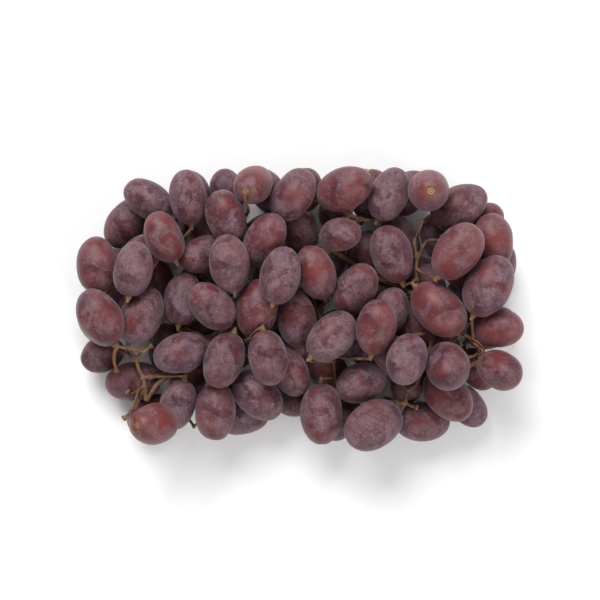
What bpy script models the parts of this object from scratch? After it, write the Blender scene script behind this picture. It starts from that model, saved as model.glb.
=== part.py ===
"""A bunch of red seedless table grapes, lying on a flat surface.

The berries are ovals on a branching stem: a rachis with a cut end, one long shoulder, and side
sprays that carry the pedicels. The plan of the upper berries and of the main stems is laid out by
hand. The lower berries fill the space under them by a rule, then every berry settles onto the
surface and onto its neighbours, and each pedicel takes the shortest free way back to a spray.

Lengths are millimetres until a mesh is made, and Blender's scene is in metres. The origin is the
middle of the bunch's box on the surface, +X runs along the bunch and +Z is up.
"""

import math

import bmesh
import bpy
import numpy as np

MM = 0.001

# Driving dimensions, in millimetres.
BUNCH_LENGTH = 201.0
BUNCH_WIDTH = 128.0
BERRY_LENGTH = 25.0
BERRY_DIAMETER = 17.8
RACHIS_DIAMETER = 3.8
SPRAY_DIAMETER = 2.4
PEDICEL_DIAMETER = 1.5
COLLAR_DIAMETER = 3.2
CLEARANCE = 0.3

# The outline seen from above is a rounded rectangle: |x/a|^n + |y/b|^n = 1.
OUTLINE_POWER = 4.0

# The plan below was drawn on a sheet of this size for berries of this diameter. It is stretched
# to the bunch's own size, and its heights follow the berries' own diameter.
PLAN_LENGTH = 192.0
PLAN_WIDTH = 122.0
PLAN_BERRY = 17.0

# Heights of the three layers before the berries settle, in berry diameters.
LAYER_HEIGHTS = (0.55, 1.45, 2.3)

# Upper berries: x, y, heading of the tip, rise of the tip in degrees, size, layer.
UPPER_BERRIES = (
    (-65, 47, 145, 10, 0.96, 2),
    (-43, 46, 98, 0, 0.97, 2),
    (-78, 33, 233, -5, 1.00, 1),
    (-66, 24, 230, 0, 0.96, 0),
    (-70, 17, 80, 0, 0.99, 2),
    (-56, 29, 115, 5, 0.94, 2),
    (-41, 27, 200, 30, 0.97, 2),
    (-87, 16, 95, 0, 1.03, 2),
    (-83, -4, 120, 5, 1.06, 2),
    (-63, -2, 65, 5, 1.08, 2),
    (-87, -12, 120, 15, 1.00, 1),
    (-46, 8, 80, 0, 0.96, 1),
    (-69, -28, 185, 0, 1.02, 0),
    (-60, -47, 0, -60, 1.04, 1),
    (-49, -37, 255, -10, 0.92, 0),
    (-50, -17, 195, 5, 1.00, 2),
    (-21, 53, 50, -65, 0.95, 1),
    (-28, 40, 107, 5, 1.00, 2),
    (-13, 46, 120, 20, 0.92, 0),
    (-15, 32, 60, 20, 1.00, 2),
    (-3, 51, 57, 5, 1.02, 2),
    (18, 52, 20, 30, 1.10, 2),
    (4, 33, 90, 50, 0.95, 1),
    (18, 31, 0, 45, 0.85, 1),
    (36, 47, 67, 5, 1.00, 2),
    (37, 26, 110, 0, 1.07, 2),
    (52, 51, 90, -85, 1.05, 2),
    (70, 44, 30, 0, 1.08, 2),
    (81, 29, 100, 0, 0.97, 1),
    (68, 22, 52, 5, 1.12, 2),
    (81, 7, 63, 0, 1.15, 2),
    (86, 16, 70, 20, 0.96, 0),
    (59, 0, 315, 10, 1.15, 2),
    (86, -9, 3, 40, 1.00, 1),
    (85, -24, 330, 50, 0.96, 1),
    (72, -28, 300, 35, 0.90, 0),
    (61, -27, 275, 65, 1.10, 2),
    (64, -38, 310, 25, 1.08, 1),
    (60, -47, 355, -20, 1.06, 0),
    (33, -50, 205, 30, 1.18, 2),
    (45, -21, 250, 40, 1.00, 1),
    (27, -31, 200, 30, 1.00, 1),
    (10, -42, 271, 5, 1.10, 2),
    (-37, -42, 270, 0, 1.03, 2),
    (-17, -36, 315, 0, 1.06, 2),
    (-22, -44, 185, 0, 1.00, 0),
    (-5, -42, 330, 50, 0.90, 0),
    (-2, -28, 295, 10, 0.93, 1),
)
LOOSE_BERRY = 26

# Berries in the middle of the bunch, laid out in the same way.
MIDDLE_BERRIES = (
    (-28, 21, 100, 10, 1.00, 2),
    (-10, 16, 75, -10, 1.03, 2),
    (8, 15, 110, 15, 0.98, 2),
    (25, 9, 60, 5, 1.02, 2),
    (-36, 2, 130, 20, 0.97, 2),
    (-20, -3, 80, 0, 1.05, 2),
    (-2, -8, 100, 10, 1.00, 2),
    (15, -10, 45, -10, 1.04, 2),
    (32, -8, 80, 10, 1.00, 2),
    (-31, -22, 250, 5, 1.02, 2),
    (-14, -19, 280, -8, 0.98, 2),
    (13, -25, 300, 5, 0.97, 0),
    (43, 0, 60, 20, 0.95, 1),
)

# Lower berries that show between the upper ones: x, y, heading of the tip, rise, size.
LOWER_BERRIES = (
    (-55, 50, 120, 40, 0.92),
    (-74, 2, 150, 0, 0.98),
    (-50, -3, 160, 0, 0.96),
    (-86, -27, 200, 50, 0.92),
    (-72, -43, 215, 30, 0.95),
    (-44, -28, 255, 0, 0.94),
    (-36, 50, 110, 30, 0.86),
    (8, 51, 80, 40, 0.92),
    (64, 48, 60, 35, 0.95),
    (46, 35, 120, 20, 0.95),
    (80, 41, 40, 10, 0.95),
    (51, 17, 130, 25, 0.98),
    (78, -43, 315, 10, 0.92),
    (40, -50, 250, 30, 0.92),
    (46, -34, 260, 10, 0.95),
    (23, -46, 240, 20, 0.95),
    (-59, 11, 100, 0, 0.92),
    (-59, -12, 80, 0, 0.86),
    (56, 31, 100, 0, 0.86),
    (66, -12, 80, 0, 0.88),
    (13, 39, 110, 0, 0.86),
    (24, 23, 70, 0, 0.86),
)

# Places where light passes right through the bunch, so that no lower berry fills them.
SEE_THROUGH = ((-68, 38), (-63, -37), (53, 40), (64, 33), (75, -18), (36, -31), (0, -38))

# Hidden rows of the lower layer, in berry diameters: pitches, shift, and room kept to the others.
ROW_PITCH_X = 1.12
ROW_PITCH_Y = 0.98
ROW_SHIFT = 0.09
ROW_SPACING = 0.86
GAP_RADIUS = 0.40

# Main stems, as x, y, z points. A spray's first line starts on its parent's centre line.
RACHIS = (
    (30, 60, 18), (27, 52, 18), (21, 40, 18), (13, 26, 19), (3, 12, 19), (-10, 1, 19), (-25, -7, 19),
    (-38, -15, 19), (-45, -25, 19), (-52, -28, 20), (-56, -28, 21), (-60, -32, 22), (-62, -34, 22),
    (-66, -40, 21),
)
SHOULDER = (
    (13, 26, 19), (22, 20, 18), (34, 13, 18), (46, 8, 19), (56, 2, 19), (64, -6, 21), (71, -11, 24),
)
SPRAYS = {
    "spray_left_end": (
        ((-66, -40, 21), (-67, -31, 23), (-69, -26, 25), (-70, -22, 26)),
        ((-70, -22, 26), (-67, -19, 27), (-63, -16, 28)),
        ((-67, -35, 22), (-71, -43, 20), (-76, -48, 18)),
        ((-67, -34, 23), (-72, -37, 22), (-74, -36, 23)),
    ),
    "spray_left_middle": (
        ((-38, -15, 19), (-47, -10, 18), (-57, -5, 18), (-67, 5, 18), (-76, 12, 18)),
    ),
    "spray_left_top": (
        ((-25, -7, 19), (-36, 8, 18), (-48, 18, 18), (-58, 27, 18), (-66, 36, 18)),
    ),
    "spray_top_left": (
        ((-10, 1, 19), (-16, 14, 18), (-21, 28, 18), (-27, 40, 18)),
    ),
    "spray_top_right": (
        ((21, 40, 18), (30, 38, 18), (38, 39, 18)),
    ),
    "spray_bottom_left": (
        ((-25, -7, 19), (-27, -20, 18), (-29, -32, 18), (-28, -43, 19)),
        ((-29, -33, 18), (-40, -46, 13), (-46, -52, 11)),
    ),
    "spray_bottom_middle": (
        ((3, 12, 19), (9, -3, 18), (14, -18, 18), (16, -32, 18)),
    ),
    "spray_right_top": (
        ((50, 5, 19), (51, 12, 20), (51, 20, 22), (54, 27, 24), (56, 29, 24), (61, 29, 23)),
        ((51, 22, 22), (50, 29, 23), (52, 33, 25), (53, 37, 26)),
    ),
    "spray_right_end": (
        ((71, -11, 24), (75, -14, 25), (78, -19, 24), (79, -22, 22), (74, -25, 20)),
        ((71, -21, 22), (75, -21, 22), (78, -19, 24)),
    ),
    "spray_right_bottom": (
        ((60, -2, 20), (58, -13, 19), (55, -24, 18), (51, -33, 18), (47, -36, 19), (46, -41, 21)),
        ((46, -41, 21), (48, -42, 22), (51, -43, 23)),
        ((46, -41, 21), (42, -41, 22)),
    ),
}

# How finely the stems and the berries are worked out.
FINE_PITCH = 0.5
SIGHT_SAMPLES = 7
BEAD_PITCH = 2.5
SHOULDER_SHARE = 0.8
SIDE_LINE_SHARE = 0.8
STEM_SIDES = 6
TWIG_SIDES = 4
PEDICEL_TWIST = 0.7  # radians from one pedicel to the next, so that no two have a face in one plane
BERRY_SEGMENTS = 9
BERRY_RINGS = 7
JOINED_SEGMENTS = 7
JOINED_RINGS = 6

# Settling: steps, passes in each, and the last passes that only open the gaps.
SETTLE_STEPS = 220
PASSES_PER_STEP = 3
CLOSING_PASSES = 1100
FALL_PER_STEP = 0.30
PULL_TO_PLAN = 0.15
PULL_TO_ROW = 0.02
BUD_LENGTH = 2.4
SEPARATION_SHARES = (0.3, 0.5, 0.7)
SETTLE_STRENGTH = 0.6
CLOSING_STRENGTH = 0.5
NEIGHBOUR_RANGE = 3.0
SPARE_GAP = 0.05

# Pedicels: the mesh of free places, the slack that a straightened way needs, and how near the
# trunk a spray bears none.
CELL = 1.6
WAY_SLACK = 0.3
SMOOTHING_PASSES = 75
SMOOTHING_EASES = (0.5, 0.5, 0.3, 0.15, 0.0)
COLLAR_DEPTH = 0.8
COLLAR_LENGTH = 1.5
BUD_OUTSET = 0.5
SPACE_MARGIN = 16.0
START_REACHES = (2, 4, 7)
BARE_BASE = 5.0
START_CLOSENESS = 4.0
LOAD_POWER = 0.3

BERRY_COLOUR = (0.16, 0.055, 0.065, 1.0)
STEM_COLOUR = (0.24, 0.15, 0.06, 1.0)


def to_bunch(points):
    """Plan points stretched from the sheet to the bunch's own length and width."""
    stretch = np.array([BUNCH_LENGTH / PLAN_LENGTH, BUNCH_WIDTH / PLAN_WIDTH, 1.0])
    points = np.array(points, float)
    return points * stretch[: points.shape[1]]


def lift(points):
    """Stem points whose heights follow the berries' diameter."""
    return to_bunch(points) * np.array([1.0, 1.0, BERRY_DIAMETER / PLAN_BERRY])


def spline(points, pitch):
    """Points about a pitch apart on a smooth curve through the given ones."""
    points = np.asarray(points, float)
    ends = np.vstack([2 * points[0] - points[1], points, 2 * points[-1] - points[-2]])
    out = []
    for before, start, stop, after in zip(ends, ends[1:], ends[2:], ends[3:]):
        count = max(1, round(np.linalg.norm(stop - start) / pitch))
        for t in np.arange(count) / count:
            bend = 2 * before - 5 * start + 4 * stop - after
            twist = 3 * start - before - 3 * stop + after
            out.append(start + 0.5 * t * (stop - before + t * (bend + t * twist)))
    out.append(points[-1])
    return np.array(out)


def clear_start(points, radius, parents, parent_radius):
    """The line from where it comes clear of its parent stems, keeping the gap between them."""
    apart = np.linalg.norm(points[:, None] - parents[None], axis=2).min(axis=1)
    touching = np.nonzero(apart < radius + parent_radius + CLEARANCE + SPARE_GAP)[0]
    return points[touching[-1] + 1 :] if len(touching) else points


def beads_along(points):
    """About every bead's pitch along a finely drawn line, with its last point."""
    step = round(BEAD_PITCH / FINE_PITCH)
    return points[np.unique(np.append(np.arange(0, len(points), step), len(points) - 1))]


def direction(heading, rise):
    """The unit vector at this heading from +X, raised by this angle."""
    turn, up = math.radians(heading), math.radians(rise)
    return np.array([math.cos(up) * math.cos(turn), math.cos(up) * math.sin(turn), math.sin(up)])


def main_stems():
    """Each main stem's name, with its lines as (points, radii)."""
    thick, thin = RACHIS_DIAMETER / 2, SPRAY_DIAMETER / 2
    rachis = spline(lift(RACHIS), FINE_PITCH)
    shoulder = clear_start(spline(lift(SHOULDER), FINE_PITCH), thick, rachis, thick)
    trunk = np.vstack([rachis, shoulder])
    stems = {
        "rachis": [tapered(rachis, thick, thin)],
        "shoulder": [tapered(shoulder, SHOULDER_SHARE * thick, thin)],
    }
    for name, lines in SPRAYS.items():
        stems[name] = []
        for number, line in enumerate(lines):
            points = spline(lift(line), FINE_PITCH)
            if number == 0:
                points = clear_start(points, thin, trunk, thick)
            start = thin if number == 0 else SIDE_LINE_SHARE * thin
            stems[name].append(tapered(points, start, PEDICEL_DIAMETER / 2))
    return stems


def tapered(points, start, end):
    """The beads along a line, with radii that run from its start to its end."""
    beads = beads_along(points)
    return beads, np.linspace(start, end, len(beads))


def inside_outline(x, y):
    """Whether a plan point lies in the rounded outline of the lower layer."""
    inset = 0.6 * BERRY_DIAMETER
    half_x, half_y = 0.5 * BUNCH_LENGTH - inset, 0.5 * BUNCH_WIDTH - inset
    return (abs(x) / half_x) ** OUTLINE_POWER + (abs(y) / half_y) ** OUTLINE_POWER < 1.0


def hidden_rows(planned, stem_points):
    """Lower berries in staggered rows, wherever the planned ones leave room on the surface."""
    taken = [row[:2] for row in planned if row[5] == 0]
    gaps = to_bunch(SEE_THROUGH)
    rows = []
    pitch_x, pitch_y = ROW_PITCH_X * BERRY_DIAMETER, ROW_PITCH_Y * BERRY_DIAMETER
    shift = ROW_SHIFT * BERRY_DIAMETER
    columns = int(BUNCH_LENGTH / pitch_x) + 1
    lines = int(BUNCH_WIDTH / pitch_y) + 1
    for line in range(-lines // 2, lines // 2 + 1):
        for column in range(-columns // 2, columns // 2 + 1):
            x = pitch_x * (column + 0.5 * (line % 2)) + shift * math.sin(3.1 * line + 1.7 * column)
            y = pitch_y * line + shift * math.sin(2.3 * column + 0.9 * line)
            near = min(math.hypot(x - spot[0], y - spot[1]) for spot in taken)
            gap = min(math.hypot(x - hole[0], y - hole[1]) for hole in gaps)
            crowded = near < ROW_SPACING * BERRY_DIAMETER or gap < GAP_RADIUS * BERRY_DIAMETER
            if crowded or not inside_outline(x, y):
                continue
            away = np.array([x, y]) - stem_points[:, :2]
            nearest = away[np.argmin(np.linalg.norm(away, axis=1))]
            heading = math.degrees(math.atan2(nearest[1], nearest[0]))
            rise = 15.0 * math.sin(1.3 * column + 2.1 * line)
            size = 0.98 + 0.05 * math.sin(2.9 * column - 1.1 * line)
            rows.append((x, y, heading, rise, size, 0))
            taken.append((x, y))
    return rows


class Berries:
    """All the berries: their centres, axes from stem end to tip, and half sizes."""

    def __init__(self, rows):
        spots = np.array([row[:2] for row in rows], float)
        heights = [LAYER_HEIGHTS[row[5]] * BERRY_DIAMETER for row in rows]
        sizes = np.array([row[4] for row in rows])
        self.layers = np.array([row[5] for row in rows])
        self.plan = spots
        self.centres = np.column_stack([spots, heights])
        self.axes = np.array([direction(row[2], row[3]) for row in rows])
        self.half_lengths = 0.5 * BERRY_LENGTH * sizes
        self.half_girths = 0.5 * BERRY_DIAMETER * sizes
        self.shapes = oval_shapes(self.axes, self.half_lengths, self.half_girths)
        rises = self.axes[:, 2] ** 2
        self.lowest = np.sqrt(
            self.half_girths**2 + (self.half_lengths**2 - self.half_girths**2) * rises
        )

    def keep_in_outline(self):
        """Brings each berry back above the surface and inside the bunch's rounded outline."""
        self.centres[:, 2] = np.maximum(self.centres[:, 2], self.lowest)
        half = 0.5 * np.array([BUNCH_LENGTH, BUNCH_WIDTH])
        room = half - np.sqrt(np.einsum("nii->ni", self.shapes))[:, :2]
        share = ((np.abs(self.centres[:, :2]) / room) ** OUTLINE_POWER).sum(axis=1)
        self.centres[:, :2] /= np.maximum(share, 1.0)[:, None] ** (1 / OUTLINE_POWER)

    def stem_ends(self, outward):
        """Points this far outside each berry's stem end."""
        return self.centres - self.axes * (self.half_lengths + outward)[:, None]


def oval_shapes(axes, half_lengths, half_girths):
    """The matrix A of each oval, whose reach along a unit vector n is sqrt(n A n)."""
    girth = (half_girths**2)[:, None, None] * np.eye(3)
    extra = (half_lengths**2 - half_girths**2)[:, None, None]
    return girth + extra * axes[:, :, None] * axes[:, None, :]


def gaps_between(offsets, shapes_a, shapes_b):
    """The gap between two ovals along the best of a few normals, and that normal."""
    best = np.full(len(offsets), -np.inf)
    normals = np.zeros_like(offsets)
    for share in SEPARATION_SHARES:
        mixed = (1 - share) * shapes_a + share * shapes_b
        trial = np.linalg.solve(mixed, offsets[:, :, None])[:, :, 0]
        trial /= np.linalg.norm(trial, axis=1, keepdims=True)
        reach_a = np.sqrt(np.einsum("ni,nij,nj->n", trial, shapes_a, trial))
        reach_b = np.sqrt(np.einsum("ni,nij,nj->n", trial, shapes_b, trial))
        gap = np.einsum("ni,ni->n", offsets, trial) - reach_a - reach_b
        better = gap > best
        best[better] = gap[better]
        normals[better] = trial[better]
    return best, normals


def ball_shapes(radii):
    return (np.asarray(radii) ** 2)[:, None, None] * np.eye(3)


def settle(berries, planned, beads, bead_radii):
    """Lets the berries down onto the surface and each other, round the fixed stems.

    The first berries are the planned ones, and keep to their places more firmly than the rest.
    Each berry holds a small bud clear at its stem end, where its pedicel will leave.
    """
    count = len(berries.centres)
    pulls = np.where(np.arange(count) < planned, PULL_TO_PLAN, PULL_TO_ROW)
    bud_radii = np.full(count, COLLAR_DIAMETER / 2)
    shapes = np.concatenate([berries.shapes, ball_shapes(bud_radii), ball_shapes(bead_radii)])
    reach = np.concatenate([berries.half_lengths, bud_radii, bead_radii])
    owner = np.concatenate([np.arange(count), np.arange(count), np.full(len(beads), -1)])

    def places():
        return np.vstack([berries.centres, berries.stem_ends(BUD_LENGTH), beads])

    def near_pairs():
        spots = places()
        apart = np.linalg.norm(spots[:, None] - spots[None], axis=2)
        close = apart < reach[:, None] + reach[None] + NEIGHBOUR_RANGE
        first, second = np.nonzero(np.triu(close, 1))
        buds = (first >= count) & (second >= count)
        keep = (owner[first] != owner[second]) & ~buds
        return first[keep], second[keep]

    def open_gaps(first, second, wanted, strength):
        spots = places()
        gap, normal = gaps_between(spots[second] - spots[first], shapes[first], shapes[second])
        short = np.maximum(wanted - gap, 0.0)
        held = (owner[first] < 0) | (owner[second] < 0)
        push = normal * (strength * short * np.where(held, 1.0, 0.5))[:, None]
        moves = np.zeros_like(berries.centres)
        for ends, sign in ((first, -1.0), (second, 1.0)):
            free = owner[ends] >= 0
            np.add.at(moves, owner[ends][free], sign * push[free])
        berries.centres += moves
        berries.keep_in_outline()
        return gap.min() if len(gap) else wanted

    wanted = CLEARANCE + SPARE_GAP
    for step in range(SETTLE_STEPS):
        if step % 5 == 0:
            pairs = near_pairs()
        berries.centres[:, :2] += pulls[:, None] * (berries.plan - berries.centres[:, :2])
        berries.centres[:, 2] -= FALL_PER_STEP
        for _ in range(PASSES_PER_STEP):
            open_gaps(*pairs, wanted, SETTLE_STRENGTH)
    for step in range(CLOSING_PASSES):
        if step % 10 == 0:
            pairs = near_pairs()
        if open_gaps(*pairs, wanted, CLOSING_STRENGTH) > CLEARANCE:
            break


def block_of_cells(start, stop):
    """The indices of all the cells between two corners."""
    return np.stack(np.meshgrid(*[np.arange(a, b) for a, b in zip(start, stop)], indexing="ij"), -1)


class FreeSpace:
    """A mesh of cells over the bunch, each with its shortest free way to a spray."""

    STEPS = [
        np.array([i, j, k])
        for i in (-1, 0, 1)
        for j in (-1, 0, 1)
        for k in (-1, 0, 1)
        if (i, j, k) != (0, 0, 0)
    ]

    def __init__(self, berries, sprays, others, other_radii):
        low = berries.centres.min(axis=0) - SPACE_MARGIN
        low[2] = -2 * CELL
        high = berries.centres.max(axis=0) + SPACE_MARGIN
        self.low = low
        self.size = np.ceil((high - low) / CELL).astype(int)
        self.trunk, self.trunk_radii = others, other_radii
        self.free = self.clear_of(berries, others, other_radii)
        self.reach = np.full(self.size, np.inf)
        self.owner = np.full(self.size, -1)
        self.came = np.full(self.size, -1)
        for number, points in enumerate(sprays):
            cells = self.cells_of(points)
            self.reach[tuple(cells.T)] = 0.0
            self.owner[tuple(cells.T)] = number
            self.free[tuple(cells.T)] = True
        self.spread()

    def cells_of(self, points):
        return np.round((points - self.low) / CELL).astype(int)

    def place_of(self, cell):
        return self.low + np.asarray(cell) * CELL

    def clear_of(self, berries, others, other_radii):
        """The cells where a pedicel's centre clears the surface, the berries and other stems."""
        room = PEDICEL_DIAMETER / 2 + CLEARANCE + WAY_SLACK
        free = np.ones(self.size, bool)
        for face in (0, -1):
            free[face], free[:, face], free[:, :, face] = False, False, False
        free[:, :, : int((room - self.low[2]) / CELL) + 1] = False
        balls = [(p, (r**2) * np.eye(3), r) for p, r in zip(others, other_radii)]
        ovals = list(zip(berries.centres, berries.shapes, berries.half_lengths))
        for centre, shape, radius in balls + ovals:
            window = radius + room + CELL
            start = np.maximum(self.cells_of(centre - window), 0)
            stop = np.minimum(self.cells_of(centre + window) + 1, self.size)
            offset = self.place_of(block_of_cells(start, stop)) - centre
            normal = offset @ np.linalg.inv(shape)
            normal /= np.maximum(np.linalg.norm(normal, axis=-1, keepdims=True), 1e-9)
            reach = np.sqrt(np.einsum("...i,ij,...j->...", normal, shape, normal))
            block = tuple(slice(a, b) for a, b in zip(start, stop))
            free[block] &= np.einsum("...i,...i->...", offset, normal) - reach > room
        return free

    def spread(self):
        """Works outwards from the sprays until no cell finds a shorter way."""
        changed = True
        while changed:
            changed = False
            for number, step in enumerate(self.STEPS):
                trial = np.roll(self.reach, step, (0, 1, 2)) + CELL * np.linalg.norm(step)
                better = self.free & (trial < self.reach - 1e-6)
                if not better.any():
                    continue
                changed = True
                self.reach[better] = trial[better]
                self.came[better] = number
                self.owner[better] = np.roll(self.owner, step, (0, 1, 2))[better]

    def start_near(self, point):
        """The reached cell that is best to start from, near a pedicel's first point."""
        middle = self.cells_of(point)
        for radius in START_REACHES:
            start, stop = np.maximum(middle - radius, 0), np.minimum(middle + radius + 1, self.size)
            cells = block_of_cells(start, stop).reshape(-1, 3)
            reach = self.reach[tuple(cells.T)]
            known = np.isfinite(reach) & self.in_sight(point, cells)
            if known.any():
                cells, reach = cells[known], reach[known]
                away = np.linalg.norm(self.place_of(cells) - point, axis=1)
                return tuple(cells[np.argmin(reach + START_CLOSENESS * away)])
        raise ValueError("a pedicel has no free way out from its berry")

    def in_sight(self, point, cells):
        """Which cells a straight pedicel from this point reaches clear of the trunk."""
        shares = np.linspace(0.0, 1.0, SIGHT_SAMPLES)[:, None, None]
        spots = point + shares * (self.place_of(cells) - point)
        apart = np.linalg.norm(spots[:, :, None] - self.trunk, axis=3)
        wanted = self.trunk_radii + PEDICEL_DIAMETER / 2 + CLEARANCE
        return (apart >= np.minimum(wanted, apart[0])).all(axis=(0, 2))

    def way_from(self, cell):
        """The cells from this one back to its spray, and the spray's number."""
        way = [cell]
        while self.came[way[-1]] >= 0 and self.reach[way[-1]] > 0:
            way.append(tuple(np.array(way[-1]) - self.STEPS[self.came[way[-1]]]))
        return way, self.owner[cell]


class Twigs:
    """The pedicels as one tree for each spray, from the berries back to the spray's line."""

    def __init__(self):
        self.points = []
        self.parents = []
        self.sprays = []
        self.held = []
        self.loads = []
        self.ends = []
        self.cells = {}

    def add(self, point, parent, spray, held):
        self.points.append(np.array(point, float))
        self.parents.append(parent)
        self.sprays.append(spray)
        self.held.append(held)
        self.loads.append(0)
        return len(self.points) - 1

    def grow(self, berries, space, spray_points):
        """Adds a pedicel for every berry except the loose one, and counts what each point bears."""
        buds = berries.stem_ends(COLLAR_LENGTH + BUD_OUTSET)
        for number, bud in enumerate(buds):
            if number == LOOSE_BERRY:
                continue
            start = space.start_near(bud)
            way, spray = space.way_from(start)
            parent = self.parent_of(way, spray, space, spray_points[spray])
            base = self.add(bud, parent, spray, True)
            self.ends.append((number, base))
            while base >= 0:
                self.loads[base] += 1
                base = self.parents[base]

    def parent_of(self, way, spray, space, line):
        """The tree point at the start of this way, adding what isn't in the tree yet."""
        last = space.place_of(way[-1])
        parent = self.cells.get(way[-1])
        if parent is None:
            nearest = line[np.argmin(np.linalg.norm(line - last, axis=1))]
            parent = self.cells[way[-1]] = self.add(nearest, -1, spray, True)
        for cell in reversed(way[:-1]):
            if cell not in self.cells:
                self.cells[cell] = self.add(space.place_of(cell), parent, spray, False)
            parent = self.cells[cell]
        return parent

    def smooth(self, berries, others, other_radii, other_sprays):
        """Draws the ways straight, and holds them off the berries and off other sprays' stems."""
        points = np.array(self.points)
        parents, sprays = np.array(self.parents), np.array(self.sprays)
        free = ~np.array(self.held)
        radii = self.radii()
        linked = np.nonzero(parents >= 0)[0]
        wanted = CLEARANCE + WAY_SLACK
        for step in range(SMOOTHING_PASSES):
            before = points.copy()
            total, ties = np.zeros_like(points), np.zeros(len(points))
            for here, there in ((linked, parents[linked]), (parents[linked], linked)):
                np.add.at(total, here, points[there])
                np.add.at(ties, here, 1.0)
            middle = total / np.maximum(ties, 1.0)[:, None]
            ease = SMOOTHING_EASES[len(SMOOTHING_EASES) * step // SMOOTHING_PASSES]
            points[free] += ease * (middle - points)[free]
            for _ in range(2):
                points[free] += push_off_berries(points, radii, berries, wanted)[free]
            points[:, 2] = np.maximum(points[:, 2], radii + CLEARANCE)
            blocked = self.near_stems(points, radii, others, other_radii, other_sprays, wanted)
            points[blocked & free] = before[blocked & free]
        self.points = list(points)

    def near_stems(self, points, radii, others, other_radii, other_sprays, wanted):
        """Which points are too near another spray's stems, or the trunk's."""
        blocked = np.zeros(len(points), bool)
        sprays = np.array(self.sprays)
        for spots, sizes, owners in ((points, radii, sprays), (others, other_radii, other_sprays)):
            apart = np.linalg.norm(points[:, None] - spots[None], axis=2)
            near = apart < radii[:, None] + sizes[None] + wanted
            blocked |= (near & (sprays[:, None] != owners[None])).any(axis=1)
        return blocked

    def radii(self):
        """A stem that bears more berries is thicker, up to the spray's own line."""
        grown = PEDICEL_DIAMETER / 2 * np.maximum(self.loads, 1) ** LOAD_POWER
        return np.minimum(grown, SPRAY_DIAMETER / 2)

    def chains(self, berries, joined):
        """Each pedicel as (berry, spray, points, radii), down to the first point already drawn."""
        radii, drawn, out = self.radii(), set(), []
        for berry, base in self.ends:
            axis = berries.axes[berry]
            inset = -COLLAR_DEPTH if joined[berry] else CLEARANCE + SPARE_GAP
            end = berries.centres[berry] - axis * (berries.half_lengths[berry] + inset)
            neck = berries.centres[berry] - axis * (berries.half_lengths[berry] + COLLAR_LENGTH)
            points, sizes = [end, neck], [COLLAR_DIAMETER / 2, PEDICEL_DIAMETER / 2]
            here = self.parents[base]
            while here >= 0:
                points.append(self.points[here])
                sizes.append(radii[here])
                if here in drawn:
                    break
                drawn.add(here)
                here = self.parents[here]
            out.append((berry, self.sprays[base], np.array(points), np.array(sizes)))
        return out


def push_off_berries(points, radii, berries, wanted):
    """The moves that bring stem points clear of every berry."""
    apart = np.linalg.norm(points[:, None] - berries.centres[None], axis=2)
    near = apart < berries.half_lengths[None] + radii[:, None] + NEIGHBOUR_RANGE
    stem, berry = np.nonzero(near)
    offsets = points[stem] - berries.centres[berry]
    gap, normal = gaps_between(offsets, berries.shapes[berry], ball_shapes(radii[stem]))
    moves = np.zeros_like(points)
    np.add.at(moves, stem, normal * np.maximum(wanted - gap, 0.0)[:, None])
    return moves


def straighten(points, sizes, slack):
    """Leaves out the points that lie within the slack of a straight stretch."""
    if len(points) < 3:
        return points, sizes
    along = points[-1] - points[0]
    away = points[1:-1] - points[0]
    share = np.clip(away @ along / max(along @ along, 1e-9), 0.0, 1.0)
    off = np.linalg.norm(away - share[:, None] * along, axis=1)
    worst = int(np.argmax(off)) + 1
    if off[worst - 1] < slack:
        return points[[0, -1]], sizes[[0, -1]]
    first, first_sizes = straighten(points[: worst + 1], sizes[: worst + 1], slack)
    rest, rest_sizes = straighten(points[worst:], sizes[worst:], slack)
    return np.vstack([first, rest[1:]]), np.concatenate([first_sizes, rest_sizes[1:]])


def every_other(points, radii):
    """Every second point of a main stem, with its last."""
    kept = np.unique(np.append(np.arange(0, len(points), 2), len(points) - 1))
    return points[kept], radii[kept]


def tube_mesh(name, points, radii, sides, twist=0.0):
    """A closed tube along the points, with a ring of so many sides at each, turned by the twist."""
    tangents = np.gradient(points, axis=0)
    tangents /= np.linalg.norm(tangents, axis=1, keepdims=True)
    start = np.array([0.0, 0.0, 1.0]) if abs(tangents[0][2]) < 0.9 else np.array([1.0, 0.0, 0.0])
    side = np.cross(tangents[0], start)
    verts, faces = [], []
    for point, tangent, radius in zip(points, tangents, radii):
        side = side - tangent * (side @ tangent)
        side /= np.linalg.norm(side)
        other = np.cross(tangent, side)
        for k in range(sides):
            turn = twist + 2 * math.pi * k / sides
            verts.append(point + radius * (math.cos(turn) * side + math.sin(turn) * other))
    for ring in range(len(points) - 1):
        for k in range(sides):
            a, b = ring * sides + k, ring * sides + (k + 1) % sides
            faces.append((a, b, b + sides, a + sides))
    faces.append(tuple(reversed(range(sides))))
    faces.append(tuple(range(len(verts) - sides, len(verts))))
    mesh = bpy.data.meshes.new(name)
    mesh.from_pydata([tuple(v * MM) for v in verts], [], faces)
    return mesh


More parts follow.
